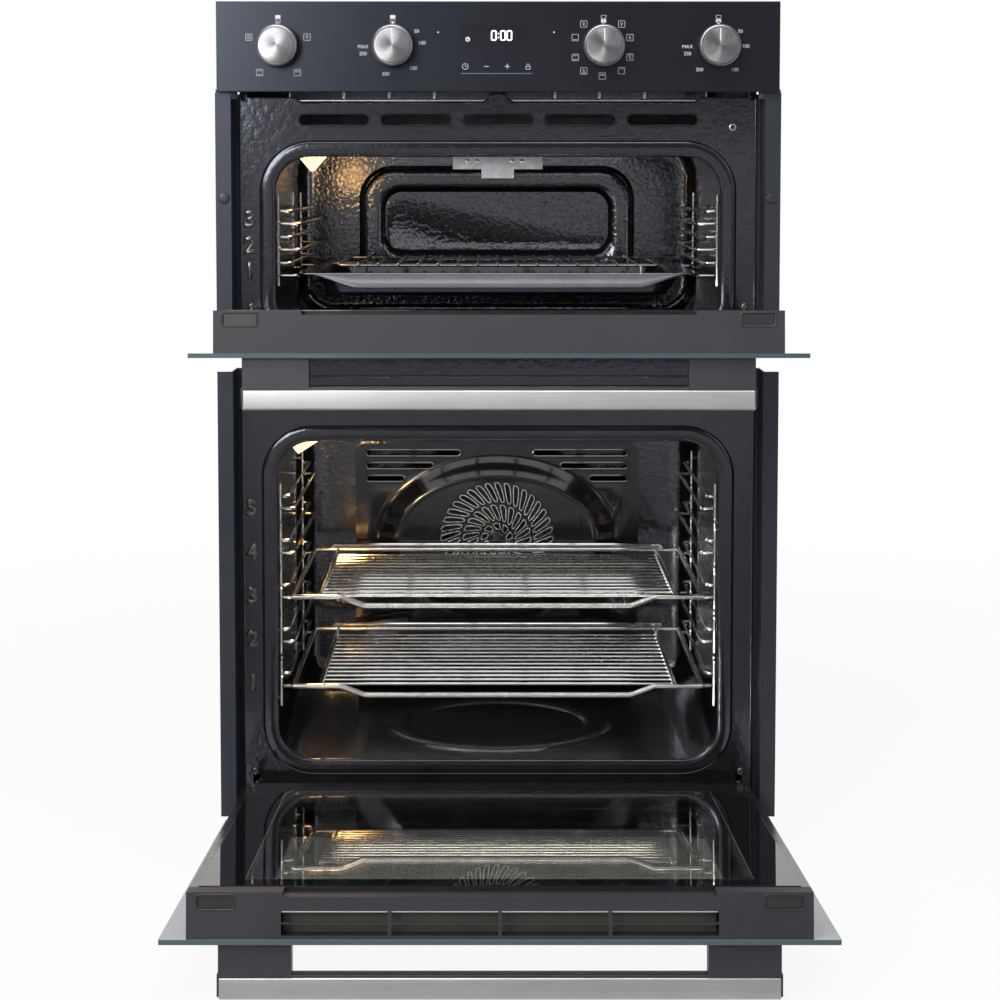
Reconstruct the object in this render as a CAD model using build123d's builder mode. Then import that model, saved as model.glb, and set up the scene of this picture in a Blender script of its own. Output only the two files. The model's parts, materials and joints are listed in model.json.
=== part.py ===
"""Built-in double wall oven: a grill oven above a fan oven, both doors dropped open.

Millimetres. X runs to the right, Y into the oven, Z up. The origin is on the underside of the base.
"""

import os
from math import cos, radians, sin

from build123d import *

os.makedirs("parts", exist_ok=True)

# Heights, from the base up
lower_door_drop = 11.0
lower_door_height = 505.0
upper_door_height = 275.0
door_gap = 6.0
panel_height = 95.0

# Widths
front_width = 594.5
trim_width = 600.0
trim_face = 16.5
casing_width = 557.0
cavity_width = 494.0
opening_inset = 5.0
roof_rise = 18.0

# Depths behind the face of the control panel
front = -300.0
panel_skin = 4.0
trim_setback = 8.0
frame_depth = 50.0
frame_sheet = 1.2
cavity_depth = 405.0
motor_room = 95.0

# Sheets
casing_sheet = 1.0
base_sheet = 2.0
liner_sheet = 1.5
cover_sheet = 1.5
trim_sheet = 1.5

# Front frames and openings
upper_opening_top_margin = 66.0
upper_opening_bottom_margin = 42.0
lower_opening_top_margin = 73.0
lower_opening_bottom_margin = 47.0
lower_frame_bottom = 4.0
opening_radius = 40.0
bead_width = 14.0
bead_height = 2.0
seal_width = 6.0
seal_height = 1.2
notch_width = 210.0
notch_gap = 18.0
vent_count = 5
vent_length = 77.0
vent_height = 13.0
vent_pitch = 88.5
vent_drop = 28.0

# Doors and hinges
door_depth = 45.5
door_glass = 4.5
body_clearance = 5.5
body_base = 6.0
body_sheet = 1.5
rail_width = 46.0
pane = 4.0
top_trim_height = 22.0
top_trim_wall = 2.5
ledge_length = 84.0
ledge_height = 4.0
open_angle = 85.5
hinge_depth = 13.0
hinge_rise = 12.0
hinge_inset = 8.0
arm_sheet = 4.0
arm_rise = 21.0
arm_half = 6.0
eye_radius = 7.5
latch_pin = 1.5
slot_room = 8.0
slot_side_room = 3.0
pin_radius = 3.0
running_clearance = 0.05
case_gap = 8.0
case_sheet = 2.0
case_length = 120.0
latch_clearance = 0.3
latch_sheet = 1.0
latch_half = 4.0
latch_skirt = 3.5
latch_crest = 4.0

# Handles
handle_length = 492.0
handle_depth = 19.5
handle_height = 16.0
handle_standoff = 30.5
handle_below_edge = 8.0
post_width = 64.0

# Release clips
clip_length = 31.0
clip_width = 11.0
clip_inset = 10.0
clip_clearance = 0.4
clip_body = 12.0
clip_recess = 0.8

# Controls
knob_radius = 22.4
knob_length = 23.0
knob_gap = 0.8
knob_rise = 48.0
outer_knob_x = 232.0
inner_knob_x = 111.0
spindle_radius = 3.0
switch_size = 38.0
switch_depth = 34.0
window_width = 70.0
window_height = 22.0
window_rise = 59.0
window_skin = 0.8

# Wire racks
ladder_wire = 2.0
ladder_offset = 6.0
ladder_front = 35.0
ladder_back = 330.0
guide_gap = 13.8
rail_bend = 5.0
ladder_foot = 8.0
upper_ladder_ends = (16.0, 18.0)
lower_ladder_ends = (40.0, 14.0)
lower_levels = 5
upper_levels = 3
lower_level_base = 75.0
lower_level_top_room = 81.0
upper_level_base = 62.0
upper_level_top_room = 75.0
shelf_wire = 3.0
shelf_width = 457.0
shelf_length = 314.0
shelf_front = 10.0
shelf_bars = 14
shelf_lap = 2.5
rest_clearance = 0.3

# Grill pan and trivet
pan_width = 440.0
pan_length = 330.0
pan_height = 26.0
pan_sheet = 1.5
pan_flange = 20.0

# Convection fan and its cover
fan_rise = 15.0
grille_radius = 71.0
cover_width = 352.0
cover_height = 285.0
cover_stand = 60.0
shaft_radius = 4.0
ring_radius = 96.0
element_radius = 3.3

# Cooling air
duct_width = 450.0
duct_height = 27.0
duct_length = 270.0
blower_radius = 48.0

# Mains inlet and fixing
inlet_radius = 6.5
inlet_wall = 4.0
inlet_length = 12.0
fixing_hole = 2.75
fixing_drop = 112.0

# Places that follow from the sizes above
half_casing = casing_width / 2
half_front = front_width / 2
half_cavity = cavity_width / 2
half_opening = half_cavity - opening_inset
lower_bottom = -lower_door_drop
lower_top = lower_bottom + lower_door_height
upper_bottom = lower_top + door_gap
upper_top = upper_bottom + upper_door_height
panel_bottom = upper_top + door_gap
panel_top = panel_bottom + panel_height
casing_top = panel_top - 14.0
casing_front = frame_depth + frame_sheet
wall_depth = casing_front + cavity_depth
casing_back = wall_depth + liner_sheet + motor_room
frame_split = lower_top - 15.0
upper_frame_top = panel_bottom + 19.0
upper_opening = (frame_split + upper_opening_bottom_margin, panel_bottom - upper_opening_top_margin)
lower_opening = (lower_frame_bottom + lower_opening_bottom_margin, frame_split - lower_opening_top_margin)
upper_cavity_span = (upper_opening[0] - opening_inset, upper_opening[1] + roof_rise)
lower_cavity_span = (lower_opening[0] - opening_inset, lower_opening[1] + roof_rise)
upper_middle = sum(upper_opening) / 2
lower_middle = sum(lower_opening) / 2
knob_z = panel_bottom + knob_rise
fan_z = lower_middle + fan_rise
half_body = half_casing - body_clearance
hinge_x = half_body - hinge_inset
cavity_radius = opening_radius
both_sides = (-1, 1)


def face_plane(depth):
    """Plane that faces the user, this far behind the panel's face; drawn in X and Z."""
    return Plane((0, front + depth, 0), x_dir=(1, 0, 0), z_dir=(0, -1, 0))


def side_plane(x):
    """Upright plane across X; drawn in depth and Z."""
    return Plane((x, front, 0), x_dir=(0, 1, 0), z_dir=(1, 0, 0))


def floor_plane(z):
    """Level plane; drawn in X and depth."""
    return Plane((0, front, z))


swing = radians(open_angle)
door_along = Vector(0, -sin(swing), cos(swing))
door_inward = Vector(0, cos(swing), sin(swing))


def door_point(bottom, x, depth, height):
    """Point on an open door, from its depth behind the glass and its height above the lower edge."""
    pivot = Vector(x, front + hinge_depth, bottom + hinge_rise)
    return pivot + door_inward * (depth - hinge_depth) + door_along * (height - hinge_rise)


def door_plane(bottom, depth):
    """Plane along an open door, facing out of its glass; drawn in X and height."""
    return Plane(door_point(bottom, 0, depth, 0), x_dir=(1, 0, 0), z_dir=-door_inward)


def door_section(bottom, x):
    """Plane across an open door; drawn in depth and height."""
    return Plane(door_point(bottom, x, 0, 0), x_dir=door_inward, z_dir=(1, 0, 0))


def save(piece, node):
    piece.part.label = node
    export_step(piece.part, f"parts/{node}.step")


def rectangle(x0, x1, y0, y1, mode=Mode.ADD):
    with Locations(((x0 + x1) / 2, (y0 + y1) / 2)):
        Rectangle(x1 - x0, y1 - y0, mode=mode)


def rounded(half_width, span, radius, mode=Mode.ADD):
    with Locations((0, sum(span) / 2)):
        RectangleRounded(2 * half_width, span[1] - span[0], radius, mode=mode)


def grown(span, amount):
    return (span[0] - amount, span[1] + amount)


# Outer casing: one folded sheet over both sides and the top
with BuildPart() as outer_casing:
    with BuildSketch(face_plane(casing_front)):
        rectangle(-half_casing, half_casing, base_sheet, casing_top)
        rectangle(
            casing_sheet - half_casing, half_casing - casing_sheet, base_sheet, casing_top - casing_sheet,
            mode=Mode.SUBTRACT,
        )
    extrude(amount=casing_front - casing_back)
save(outer_casing, "outer_casing")

# Base plate with a front upstand and two pressed runners
base_upstand = 8.0
runner_width = 40.0
runner_rise = 5.0
with BuildPart() as base_plate:
    with BuildSketch(floor_plane(0)):
        rectangle(-half_casing, half_casing, casing_front, casing_back)
    extrude(amount=base_sheet)
    with BuildSketch(face_plane(casing_front)):
        rectangle(casing_sheet - half_casing, half_casing - casing_sheet, 0, base_upstand)
    extrude(amount=-base_sheet)
    for side in both_sides:
        with BuildSketch(face_plane(casing_front)):
            with Locations((side * half_casing / 2, base_sheet)):
                Trapezoid(runner_width, runner_rise, 60, align=(Align.CENTER, Align.MIN))
        extrude(amount=casing_front - casing_back)
save(base_plate, "base_plate")

# Rear cover: flat sheet with a raised motor pan, vent slots and the cable hole
pan_proud = 12.0
pan_half = 170.0
pan_below = 120.0
pan_above = 130.0
pan_corner = 20.0
pan_span = (fan_z - pan_below, fan_z + pan_above)
rear_slots = 9
rear_slot_pitch = 15.0
rear_slot_width = 5.0
pan_slot_length = 110.0
pan_slot_spacing = 150.0
wall_slot_length = 100.0
wall_slot_spacing = 130.0
inlet_inset = 62.0
inlet_x = half_casing - inlet_inset
inlet_z = casing_top - inlet_inset
with BuildPart() as rear_cover:
    with BuildSketch(face_plane(casing_back)):
        rectangle(-half_casing, half_casing, 0, casing_top)
    extrude(amount=-cover_sheet)
    pan_back = casing_back + cover_sheet + pan_proud
    for inset, depth, mode in ((0, cover_sheet, Mode.ADD), (cover_sheet, 0, Mode.SUBTRACT)):
        with BuildSketch(face_plane(casing_back + depth)):
            rounded(pan_half - inset, grown(pan_span, -inset), pan_corner)
        with BuildSketch(face_plane(pan_back - (cover_sheet if inset else 0))):
            rounded(pan_half - inset - pan_proud, grown(pan_span, -inset - pan_proud), 0.8 * pan_corner)
        loft(ruled=True, mode=mode)
    with BuildSketch(face_plane(pan_back)):
        with Locations((0, fan_z)):
            with GridLocations(pan_slot_spacing, rear_slot_pitch, 2, rear_slots):
                SlotOverall(pan_slot_length, rear_slot_width)
    extrude(amount=2 * cover_sheet, mode=Mode.SUBTRACT)
    with BuildSketch(face_plane(casing_back)):
        with Locations((0, upper_middle)):
            with GridLocations(wall_slot_spacing, rear_slot_pitch, 3, rear_slots):
                SlotOverall(wall_slot_length, rear_slot_width)
        with Locations((inlet_x, inlet_z)):
            Circle(inlet_radius + inlet_wall)
    extrude(amount=-cover_sheet, mode=Mode.SUBTRACT)
save(rear_cover, "rear_cover")

# Bush that lines the cable hole, with a collar inside and out
collar_grip = 3.0
collar_sheet = 2.0
with BuildPart() as cable_bush:
    with BuildSketch(face_plane(casing_back + cover_sheet / 2)):
        with Locations((inlet_x, inlet_z)):
            Circle(inlet_radius + inlet_wall)
    extrude(amount=inlet_length / 2, both=True)
    for face in (casing_back - collar_sheet / 2, casing_back + cover_sheet + collar_sheet / 2):
        with BuildSketch(face_plane(face)):
            with Locations((inlet_x, inlet_z)):
                Circle(inlet_radius + inlet_wall + collar_grip)
        extrude(amount=collar_sheet / 2, both=True)
    with BuildSketch(face_plane(casing_back + cover_sheet / 2)):
        with Locations((inlet_x, inlet_z)):
            Circle(inlet_radius)
    extrude(amount=inlet_length, both=True, mode=Mode.SUBTRACT)
save(cable_bush, "cable_bush")

# Terminal block on the inside of the rear cover, below the cable hole
terminal_ways = 5
terminal_pitch = 12.0
terminal_foot = (68.0, 34.0, 10.0)
terminal_tower = (9.0, 26.0, 9.0)
terminal_screw_radius = 2.6
terminal_screw_spacing = 14.0
terminal_screw_depth = 5.0
terminal_x = inlet_x - 20.0
terminal_z = inlet_z - 55.0
with BuildPart() as terminal_block:
    with BuildSketch(face_plane(casing_back)):
        with Locations((terminal_x, terminal_z)):
            RectangleRounded(terminal_foot[0], terminal_foot[1], 3.0)
    extrude(amount=terminal_foot[2])
    with BuildSketch(face_plane(casing_back - terminal_foot[2])):
        with Locations((terminal_x, terminal_z)):
            with GridLocations(terminal_pitch, 0, terminal_ways, 1):
                Rectangle(terminal_tower[0], terminal_tower[1])
    extrude(amount=terminal_tower[2])
    with BuildSketch(face_plane(casing_back - terminal_foot[2] - terminal_tower[2])):
        with Locations((terminal_x, terminal_z)):
            with GridLocations(terminal_pitch, terminal_screw_spacing, terminal_ways, 2):
                Circle(terminal_screw_radius)
    extrude(amount=-terminal_screw_depth, mode=Mode.SUBTRACT)
save(terminal_block, "terminal_block")


def hinge_slots(bottom):
    """Cuts the two holes that the hinge arms of one door pass through."""
    with BuildSketch(face_plane(frame_depth)) as holes:
        for side in both_sides:
            with Locations((side * hinge_x, bottom + hinge_rise + arm_rise + slot_room / 2)):
                Rectangle(arm_sheet + slot_side_room, 2 * arm_half + slot_room)
    extrude(holes.sketch, amount=-frame_sheet, mode=Mode.SUBTRACT)


def opening_bead(span):
    """Pressed bead round an opening, and the opening itself."""
    with BuildSketch(face_plane(frame_depth)) as foot:
        rounded(half_opening + bead_width, grown(span, bead_width), opening_radius + bead_width)
    extrude(foot.sketch, amount=bead_height, taper=45)
    with BuildSketch(face_plane(frame_depth - bead_height)) as mouth:
        rounded(half_opening, span, opening_radius)
    extrude(mouth.sketch, amount=-bead_height - frame_sheet, mode=Mode.SUBTRACT)


# Upper front frame, with air notches and shoulders in its top edge and a row of vents
notch_floor = panel_bottom - 10.0
notch_slope = 8.0
shoulder_rise = 5.5
shoulder_post = 8.0
with BuildPart() as upper_front_frame:
    with BuildSketch(face_plane(frame_depth)):
        rectangle(-half_casing, half_casing, frame_split, upper_frame_top)
        for side in both_sides:
            notch_start = side * notch_gap / 2
            notch_end = side * (notch_gap / 2 + notch_width)
            shoulder_end = side * (half_casing - shoulder_post)
            shoulder_z = notch_floor + shoulder_rise
            with BuildLine():
                Polyline(
                    (notch_start, upper_frame_top), (notch_start, shoulder_z),
                    (notch_start + side * notch_slope, notch_floor), (notch_end - side * notch_slope, notch_floor),
                    (notch_end, shoulder_z), (shoulder_end, shoulder_z), (shoulder_end, upper_frame_top), close=True,
                )
            make_face(mode=Mode.SUBTRACT)
        with Locations((0, panel_bottom - vent_drop)):
            with GridLocations(vent_pitch, 0, vent_count, 1):
                SlotOverall(vent_length, vent_height, mode=Mode.SUBTRACT)
    extrude(amount=-frame_sheet)
    opening_bead(upper_opening)
    hinge_slots(upper_bottom)
save(upper_front_frame, "upper_front_frame")

# Lower front frame
with BuildPart() as lower_front_frame:
    with BuildSketch(face_plane(frame_depth)):
        rectangle(-half_casing, half_casing, lower_frame_bottom, frame_split)
    extrude(amount=-frame_sheet)
    opening_bead(lower_opening)
    hinge_slots(lower_bottom)
save(lower_front_frame, "lower_front_frame")

# Woven seals that sit on the crest of each bead
seal_inset = (bead_width - bead_height - seal_width) / 2
seal_reach = seal_inset + seal_width
with BuildPart() as door_seals:
    for span in (upper_opening, lower_opening):
        with BuildSketch(face_plane(frame_depth - bead_height)):
            rounded(half_opening + seal_reach, grown(span, seal_reach), opening_radius + seal_reach)
            rounded(
                half_opening + seal_inset, grown(span, seal_inset), opening_radius + seal_inset,
                mode=Mode.SUBTRACT,
            )
        extrude(amount=seal_height)
save(door_seals, "door_seals")

# Side trims: folded strips that cover the gap to the kitchen unit and step in to the casing
trim_outer = trim_width / 2
trim_inner = trim_outer - trim_face
trim_foot = casing_front + 4.0
trim_web = 20.0
trim_end_gap = 0.5
trim_hinge_gap = 3.0
trim_top_gap = 10.0
trim_spans = (
    (upper_bottom + hinge_rise + trim_hinge_gap, panel_bottom - trim_end_gap),
    (0.0, lower_top - trim_top_gap),
)
fixing_x = (trim_outer + trim_inner) / 2 - trim_sheet / 2
fixing_z = panel_bottom - fixing_drop
with BuildPart() as side_trims:
    for bottom, top in trim_spans:
        for side in both_sides:
            with BuildSketch(floor_plane(bottom)):
                with BuildLine():
                    Polyline(
                        (side * trim_inner, trim_setback), (side * trim_outer, trim_setback),
                        (side * trim_outer, trim_setback + trim_sheet),
                        (side * (trim_inner + trim_sheet), trim_setback + trim_sheet),
                        (side * (trim_inner + trim_sheet), trim_foot + trim_sheet),
                        (side * (half_casing + trim_sheet), trim_foot + trim_sheet),
                        (side * (half_casing + trim_sheet), trim_foot + trim_web),
                        (side * half_casing, trim_foot + trim_web), (side * half_casing, trim_foot),
                        (side * trim_inner, trim_foot), close=True,
                    )
                make_face()
            extrude(amount=top - bottom)
    with BuildSketch(face_plane(trim_setback)):
        with Locations((-fixing_x, fixing_z), (fixing_x, fixing_z)):
            Circle(fixing_hole)
    extrude(amount=-trim_sheet, mode=Mode.SUBTRACT)
save(side_trims, "side_trims")

# Domed caps over the fixing holes, the frame screws, and the bumper for the upper door
cap_radius = 6.0
cap_height = 2.0
cap_hollow = 1.2
cap_edge = 1.0
screw_radius = 4.0
screw_height = 1.6
screw_inset = 11.0
upper_screw_rise = 30.0
lower_screw_drop = 12.0
bumper_radius = 4.0
bumper_height = 2.6
bumper_inset = 11.0
bumper_drop = 36.0
with BuildPart() as front_fasteners:
    with BuildSketch(face_plane(trim_setback)):
        with Locations((-fixing_x, fixing_z), (fixing_x, fixing_z)):
            Circle(cap_radius)
    extrude(amount=cap_height)
    fillet(front_fasteners.edges().group_by(Axis.Y)[0], cap_edge)
    with BuildSketch(face_plane(trim_setback)):
        with Locations((-fixing_x, fixing_z), (fixing_x, fixing_z)):
            Circle(fixing_hole + cap_edge)
    extrude(amount=cap_hollow, mode=Mode.SUBTRACT)
    with BuildSketch(face_plane(frame_depth)):
        for z in (upper_opening[0] + upper_screw_rise, lower_opening[0] - lower_screw_drop):
            with Locations((screw_inset - half_casing, z), (half_casing - screw_inset, z)):
                Circle(screw_radius)
    extrude(amount=screw_height)
    with BuildSketch(face_plane(frame_depth)):
        with Locations((half_opening + bumper_inset, panel_bottom - bumper_drop)):
            Circle(bumper_radius)
            Circle(bumper_radius / 2, mode=Mode.SUBTRACT)
    extrude(amount=bumper_height)
save(front_fasteners, "front_fasteners")


def cavity_shell(span):
    """Open-fronted box with rounded corners."""
    with BuildSketch(face_plane(casing_front)) as outside:
        rounded(half_cavity + liner_sheet, grown(span, liner_sheet), cavity_radius)
    extrude(outside.sketch, amount=-cavity_depth - liner_sheet)
    with BuildSketch(face_plane(casing_front)) as inside:
        rounded(half_cavity, span, cavity_radius - liner_sheet)
    extrude(inside.sketch, amount=-cavity_depth, mode=Mode.SUBTRACT)


# Upper cavity, with a raised ring pressed into its back wall
ring_half = 169.0
ring_top_drop = 14.0
ring_width = 25.0
ring_proud = 7.0
ring_rise = 28.0
ring_corner = 34.0
ring_draft = 20.0
with BuildPart() as upper_cavity:
    cavity_shell(upper_cavity_span)
    ring_span = (upper_opening[0] + ring_rise, upper_opening[1] - ring_top_drop)
    with BuildSketch(face_plane(wall_depth)):
        rounded(ring_half, ring_span, ring_corner)
        rounded(ring_half - ring_width, grown(ring_span, -ring_width), ring_corner / 2, mode=Mode.SUBTRACT)
    extrude(amount=ring_proud, taper=ring_draft)
save(upper_cavity, "upper_cavity")

# Lower cavity, with a round dish in its floor and a shaft hole
dish_radius = 125.0
dish_proud = 3.0
dish_width = 14.0
dish_forward = 20.0
shaft_hole = shaft_radius + 3.0
with BuildPart() as lower_cavity:
    cavity_shell(lower_cavity_span)
    with BuildSketch(floor_plane(lower_cavity_span[0])):
        with Locations((0, casing_front + cavity_depth / 2 - dish_forward)):
            Circle(dish_radius)
            Circle(dish_radius - dish_width, mode=Mode.SUBTRACT)
    extrude(amount=dish_proud)
    with BuildSketch(face_plane(wall_depth)):
        with Locations((0, fan_z)):
            Circle(shaft_hole)
    extrude(amount=-liner_sheet, mode=Mode.SUBTRACT)
save(lower_cavity, "lower_cavity")

# Lamp lenses: wedge-shaped glass covers under the roof, in the front left corner of each cavity
lamp_depth = casing_front + 50.0
lamp_length = 60.0
upper_lamp = {"tip": (40.0, 17.0), "shoulder": (21.0, 11.0), "roof": (cavity_radius, 71.0)}
lower_lamp = {"tip": (25.0, 22.0), "shoulder": (11.0, 22.0), "roof": (cavity_radius, 87.0)}
with BuildPart() as lamp_lenses:
    for lamp, opening, cavity in (
        (upper_lamp, upper_opening, upper_cavity_span), (lower_lamp, lower_opening, lower_cavity_span)
    ):
        with BuildSketch(face_plane(lamp_depth)):
            with BuildLine():
                Polyline(
                    (lamp["tip"][0] - half_cavity, opening[1] - lamp["tip"][1]),
                    (lamp["shoulder"][0] - half_cavity, cavity[1] - lamp["shoulder"][1]),
                    (lamp["roof"][0] - half_cavity, cavity[1]), (lamp["roof"][1] - half_cavity, cavity[1]),
                    close=True,
                )
            make_face()
        extrude(amount=-lamp_length)
save(lamp_lenses, "lamp_lenses")

# Glass-wool sleeves round both cavities
wool = 14.0
wool_setback = 40.0
with BuildPart() as insulation:
    for span in (upper_cavity_span, lower_cavity_span):
        with BuildSketch(face_plane(casing_front + wool_setback)):
            rounded(half_cavity + liner_sheet + wool, grown(span, liner_sheet + wool), cavity_radius + wool)
            rounded(half_cavity + liner_sheet, grown(span, liner_sheet), cavity_radius, mode=Mode.SUBTRACT)
        extrude(amount=wool_setback - cavity_depth)
save(insulation, "insulation")

# Fan cover: shallow tray over the back wall with a raised oval and a swirl grille
cover_face = wall_depth - cover_stand
oval_half_width = 145.0
oval_half_height = 96.0
oval_proud = 13.0
oval_slope = 22.0
oval_top_slope = 18.0
cover_corner = 12.0
cover_below = 168.0
outer_slots = {"count": 36, "reach": 0.80, "length": 0.37, "width": 5.2}
inner_slots = {"count": 20, "reach": 0.42, "length": 0.34, "width": 3.8}
swirl = 26.0
corner_slots = (118.0, 84.0, 48.0)
corner_slot_pitch = 16.0
corner_slot_width = 8.0
corner_slot_inset = 13.0
corner_slot_drop = 12.0
cover_span = (fan_z - cover_below, fan_z - cover_below + cover_height)
with BuildPart() as fan_cover:
    with BuildSketch(face_plane(cover_face)):
        rounded(cover_width / 2, cover_span, cover_corner)
    extrude(amount=-cover_stand)
    with BuildSketch(face_plane(cover_face + cover_sheet)):
        rounded(cover_width / 2 - cover_sheet, grown(cover_span, -cover_sheet), cover_corner - cover_sheet)
    extrude(amount=-cover_stand, mode=Mode.SUBTRACT)
    for wall, mode in ((0, Mode.ADD), (cover_sheet, Mode.SUBTRACT)):
        with BuildSketch(face_plane(cover_face + wall * 1.5)):
            with Locations((0, fan_z)):
                Ellipse(oval_half_width - wall, oval_half_height - wall)
        with BuildSketch(face_plane(cover_face - oval_proud + wall)):
            with Locations((0, fan_z)):
                Ellipse(oval_half_width - oval_slope - wall, oval_half_height - oval_top_slope - wall)
        loft(ruled=True, mode=mode)
    with BuildSketch(face_plane(cover_face - oval_proud)):
        with Locations((0, fan_z)):
            for slots in (outer_slots, inner_slots):
                with PolarLocations(grille_radius * slots["reach"], slots["count"]):
                    SlotOverall(grille_radius * slots["length"], slots["width"], rotation=-swirl)
    extrude(amount=-2 * cover_sheet, mode=Mode.SUBTRACT)
    with BuildSketch(face_plane(cover_face)):
        for side in both_sides:
            for row, length in enumerate(corner_slots):
                with Locations((side * (cover_width / 2 - corner_slot_inset - length / 2),
                                cover_span[1] - corner_slot_drop - row * corner_slot_pitch)):
                    SlotOverall(length, corner_slot_width)
    extrude(amount=-2 * cover_sheet, mode=Mode.SUBTRACT)
save(fan_cover, "fan_cover")

# Fan motor behind the back wall, its shaft reaching through it
motor_radius = 36.0
motor_length = 62.0
motor_edge = 6.0
motor_foot = (100.0, 60.0, 3.0)
shaft_reach = 46.0
with BuildPart() as fan_motor:
    with BuildSketch(face_plane(wall_depth + liner_sheet)):
        with Locations((0, fan_z)):
            RectangleRounded(motor_foot[0], motor_foot[1], 8.0)
    extrude(amount=-motor_foot[2])
    with BuildSketch(face_plane(wall_depth + liner_sheet + motor_foot[2])):
        with Locations((0, fan_z)):
            Circle(motor_radius)
    extrude(amount=-motor_length)
    fillet(fan_motor.edges().group_by(Axis.Y)[-1], motor_edge)
    with BuildSketch(face_plane(wall_depth + liner_sheet)):
        with Locations((0, fan_z)):
            Circle(shaft_radius)
    extrude(amount=shaft_reach)
save(fan_motor, "fan_motor")

# Convection fan: back disc, hub and swept blades
blade_count = 14
fan_radius = 72.0
blade_height = 24.0
blade_sheet = 2.0
blade_sweep = 28.0
fan_disc = 1.5
fan_hub_wall = 7.0
fan_back = wall_depth - 12.0
with BuildPart() as convection_fan:
    with BuildSketch(face_plane(fan_back)):
        with Locations((0, fan_z)):
            Circle(fan_radius)
    extrude(amount=fan_disc)
    with BuildSketch(face_plane(fan_back - fan_disc)):
        with Locations((0, fan_z)):
            with PolarLocations(fan_radius * 0.66, blade_count):
                Rectangle(fan_radius * 0.6, blade_sheet, rotation=blade_sweep)
    extrude(amount=blade_height)
    with BuildSketch(face_plane(fan_back)):
        with Locations((0, fan_z)):
            Circle(shaft_radius + fan_hub_wall)
    extrude(amount=blade_height)
    with BuildSketch(face_plane(fan_back)):
        with Locations((0, fan_z)):
            Circle(shaft_radius + running_clearance)
    extrude(amount=3 * blade_height, both=True, mode=Mode.SUBTRACT)
save(convection_fan, "convection_fan")

# Ring heater round the fan, its two tails seated on the back wall
ring_stand = 26.0
tail_x = 14.0
with BuildPart() as ring_heater:
    with Locations(Plane((0, front + wall_depth - ring_stand, fan_z), x_dir=(1, 0, 0), z_dir=(0, -1, 0))):
        Torus(ring_radius, element_radius)
    with BuildSketch(face_plane(wall_depth)):
        for side in both_sides:
            with Locations((side * tail_x, fan_z + (ring_radius ** 2 - tail_x ** 2) ** 0.5)):
                Circle(element_radius * 0.9)
    extrude(amount=ring_stand)
save(ring_heater, "ring_heater")


def serpentine(z, half_width, near, far, loops):
    """Heating rod that runs to and fro under a cavity roof and ends on the back wall."""
    pitch = 2 * half_width / (2 * loops - 1)
    points = [(-half_width, wall_depth)]
    for run in range(2 * loops):
        x = -half_width + run * pitch
        ends = (far, near) if run % 2 == 0 else (near, far)
        if run:
            points.append((x, ends[0]))
        points.append((x, ends[1]))
    points[-1] = (half_width, wall_depth)
    with BuildLine(floor_plane(z)) as rod:
        FilletPolyline(*points, radius=min(pitch * 0.45, 20.0))
    with BuildSketch(Plane(rod.line @ 0, z_dir=rod.line % 0)) as section:
        Circle(element_radius)
    sweep(section.sketch, path=rod.line)


# Grill elements under both cavity roofs
element_drop = 10.0
element_half = 0.72 * half_cavity
element_near = casing_front + 125.0
element_far = wall_depth - 70.0
element_loops = 3
with BuildPart() as grill_elements:
    for roof in (upper_cavity_span[1], lower_cavity_span[1]):
        serpentine(roof - element_drop, element_half, element_near, element_far, element_loops)
save(grill_elements, "grill_elements")

# Bracket that hangs the grill element from the roof of the upper cavity
bracket_width = 100.0
bracket_depth = casing_front + 80.0
bracket_sheet = 1.2
bracket_drop = 15.0
bracket_shelf = 18.0
tab_half = 18.0
tab_drop = 10.0
tab_shelf = 26.0
with BuildPart() as grill_bracket:
    roof = upper_cavity_span[1]
    plate_foot = upper_opening[1] - bracket_drop
    with BuildSketch(face_plane(bracket_depth)):
        rectangle(-bracket_width / 2, bracket_width / 2, plate_foot, roof)
        rectangle(-tab_half, tab_half, plate_foot - tab_drop, plate_foot)
    extrude(amount=bracket_sheet)
    with BuildSketch(floor_plane(roof - bracket_sheet)):
        rectangle(-bracket_width / 2, bracket_width / 2, bracket_depth, bracket_depth + bracket_shelf)
    extrude(amount=bracket_sheet)
    with BuildSketch(floor_plane(plate_foot - tab_drop)):
        rectangle(-tab_half, tab_half, bracket_depth, bracket_depth + tab_shelf)
    extrude(amount=bracket_sheet)
save(grill_bracket, "grill_bracket")


def wire_sweep(points, plane, radius, bend):
    """Round wire along a bent line in one plane."""
    with BuildLine(plane) as run:
        FilletPolyline(*points, radius=bend)
    with BuildSketch(Plane(run.line @ 0, z_dir=run.line % 0)) as section:
        Circle(radius)
    sweep(section.sketch, path=run.line)


def straight_wire(start, end, radius):
    with BuildLine() as run:
        Line(start, end)
    with BuildSketch(Plane(run.line @ 0, z_dir=run.line % 0)) as section:
        Circle(radius)
    sweep(section.sketch, path=run.line)


def ladder(side, levels, reach, foot, head):
    """Bent-wire side rack: two uprights and a pair of guide wires at each level."""
    upright_x = side * (half_cavity - ladder_offset)
    near = casing_front + ladder_front
    far = casing_front + ladder_back
    for depth in (near, far):
        straight_wire((upright_x, front + depth, foot), (upright_x, front + depth, head), ladder_wire)
        wall_x = side * half_cavity
        for z in (foot + ladder_foot, head - ladder_foot):
            straight_wire((upright_x, front + depth, z), (wall_x, front + depth, z), ladder_wire)
    for level in levels:
        for z, inset in ((level, reach), (level + guide_gap, reach * 0.6)):
            rail_x = upright_x - side * inset
            wire_sweep(
                ((upright_x, near), (rail_x, near), (rail_x, far), (upright_x, far)),
                floor_plane(z), ladder_wire, rail_bend,
            )


def spread(low, high, count):
    return [low + step * (high - low) / (count - 1) for step in range(count)]


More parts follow.
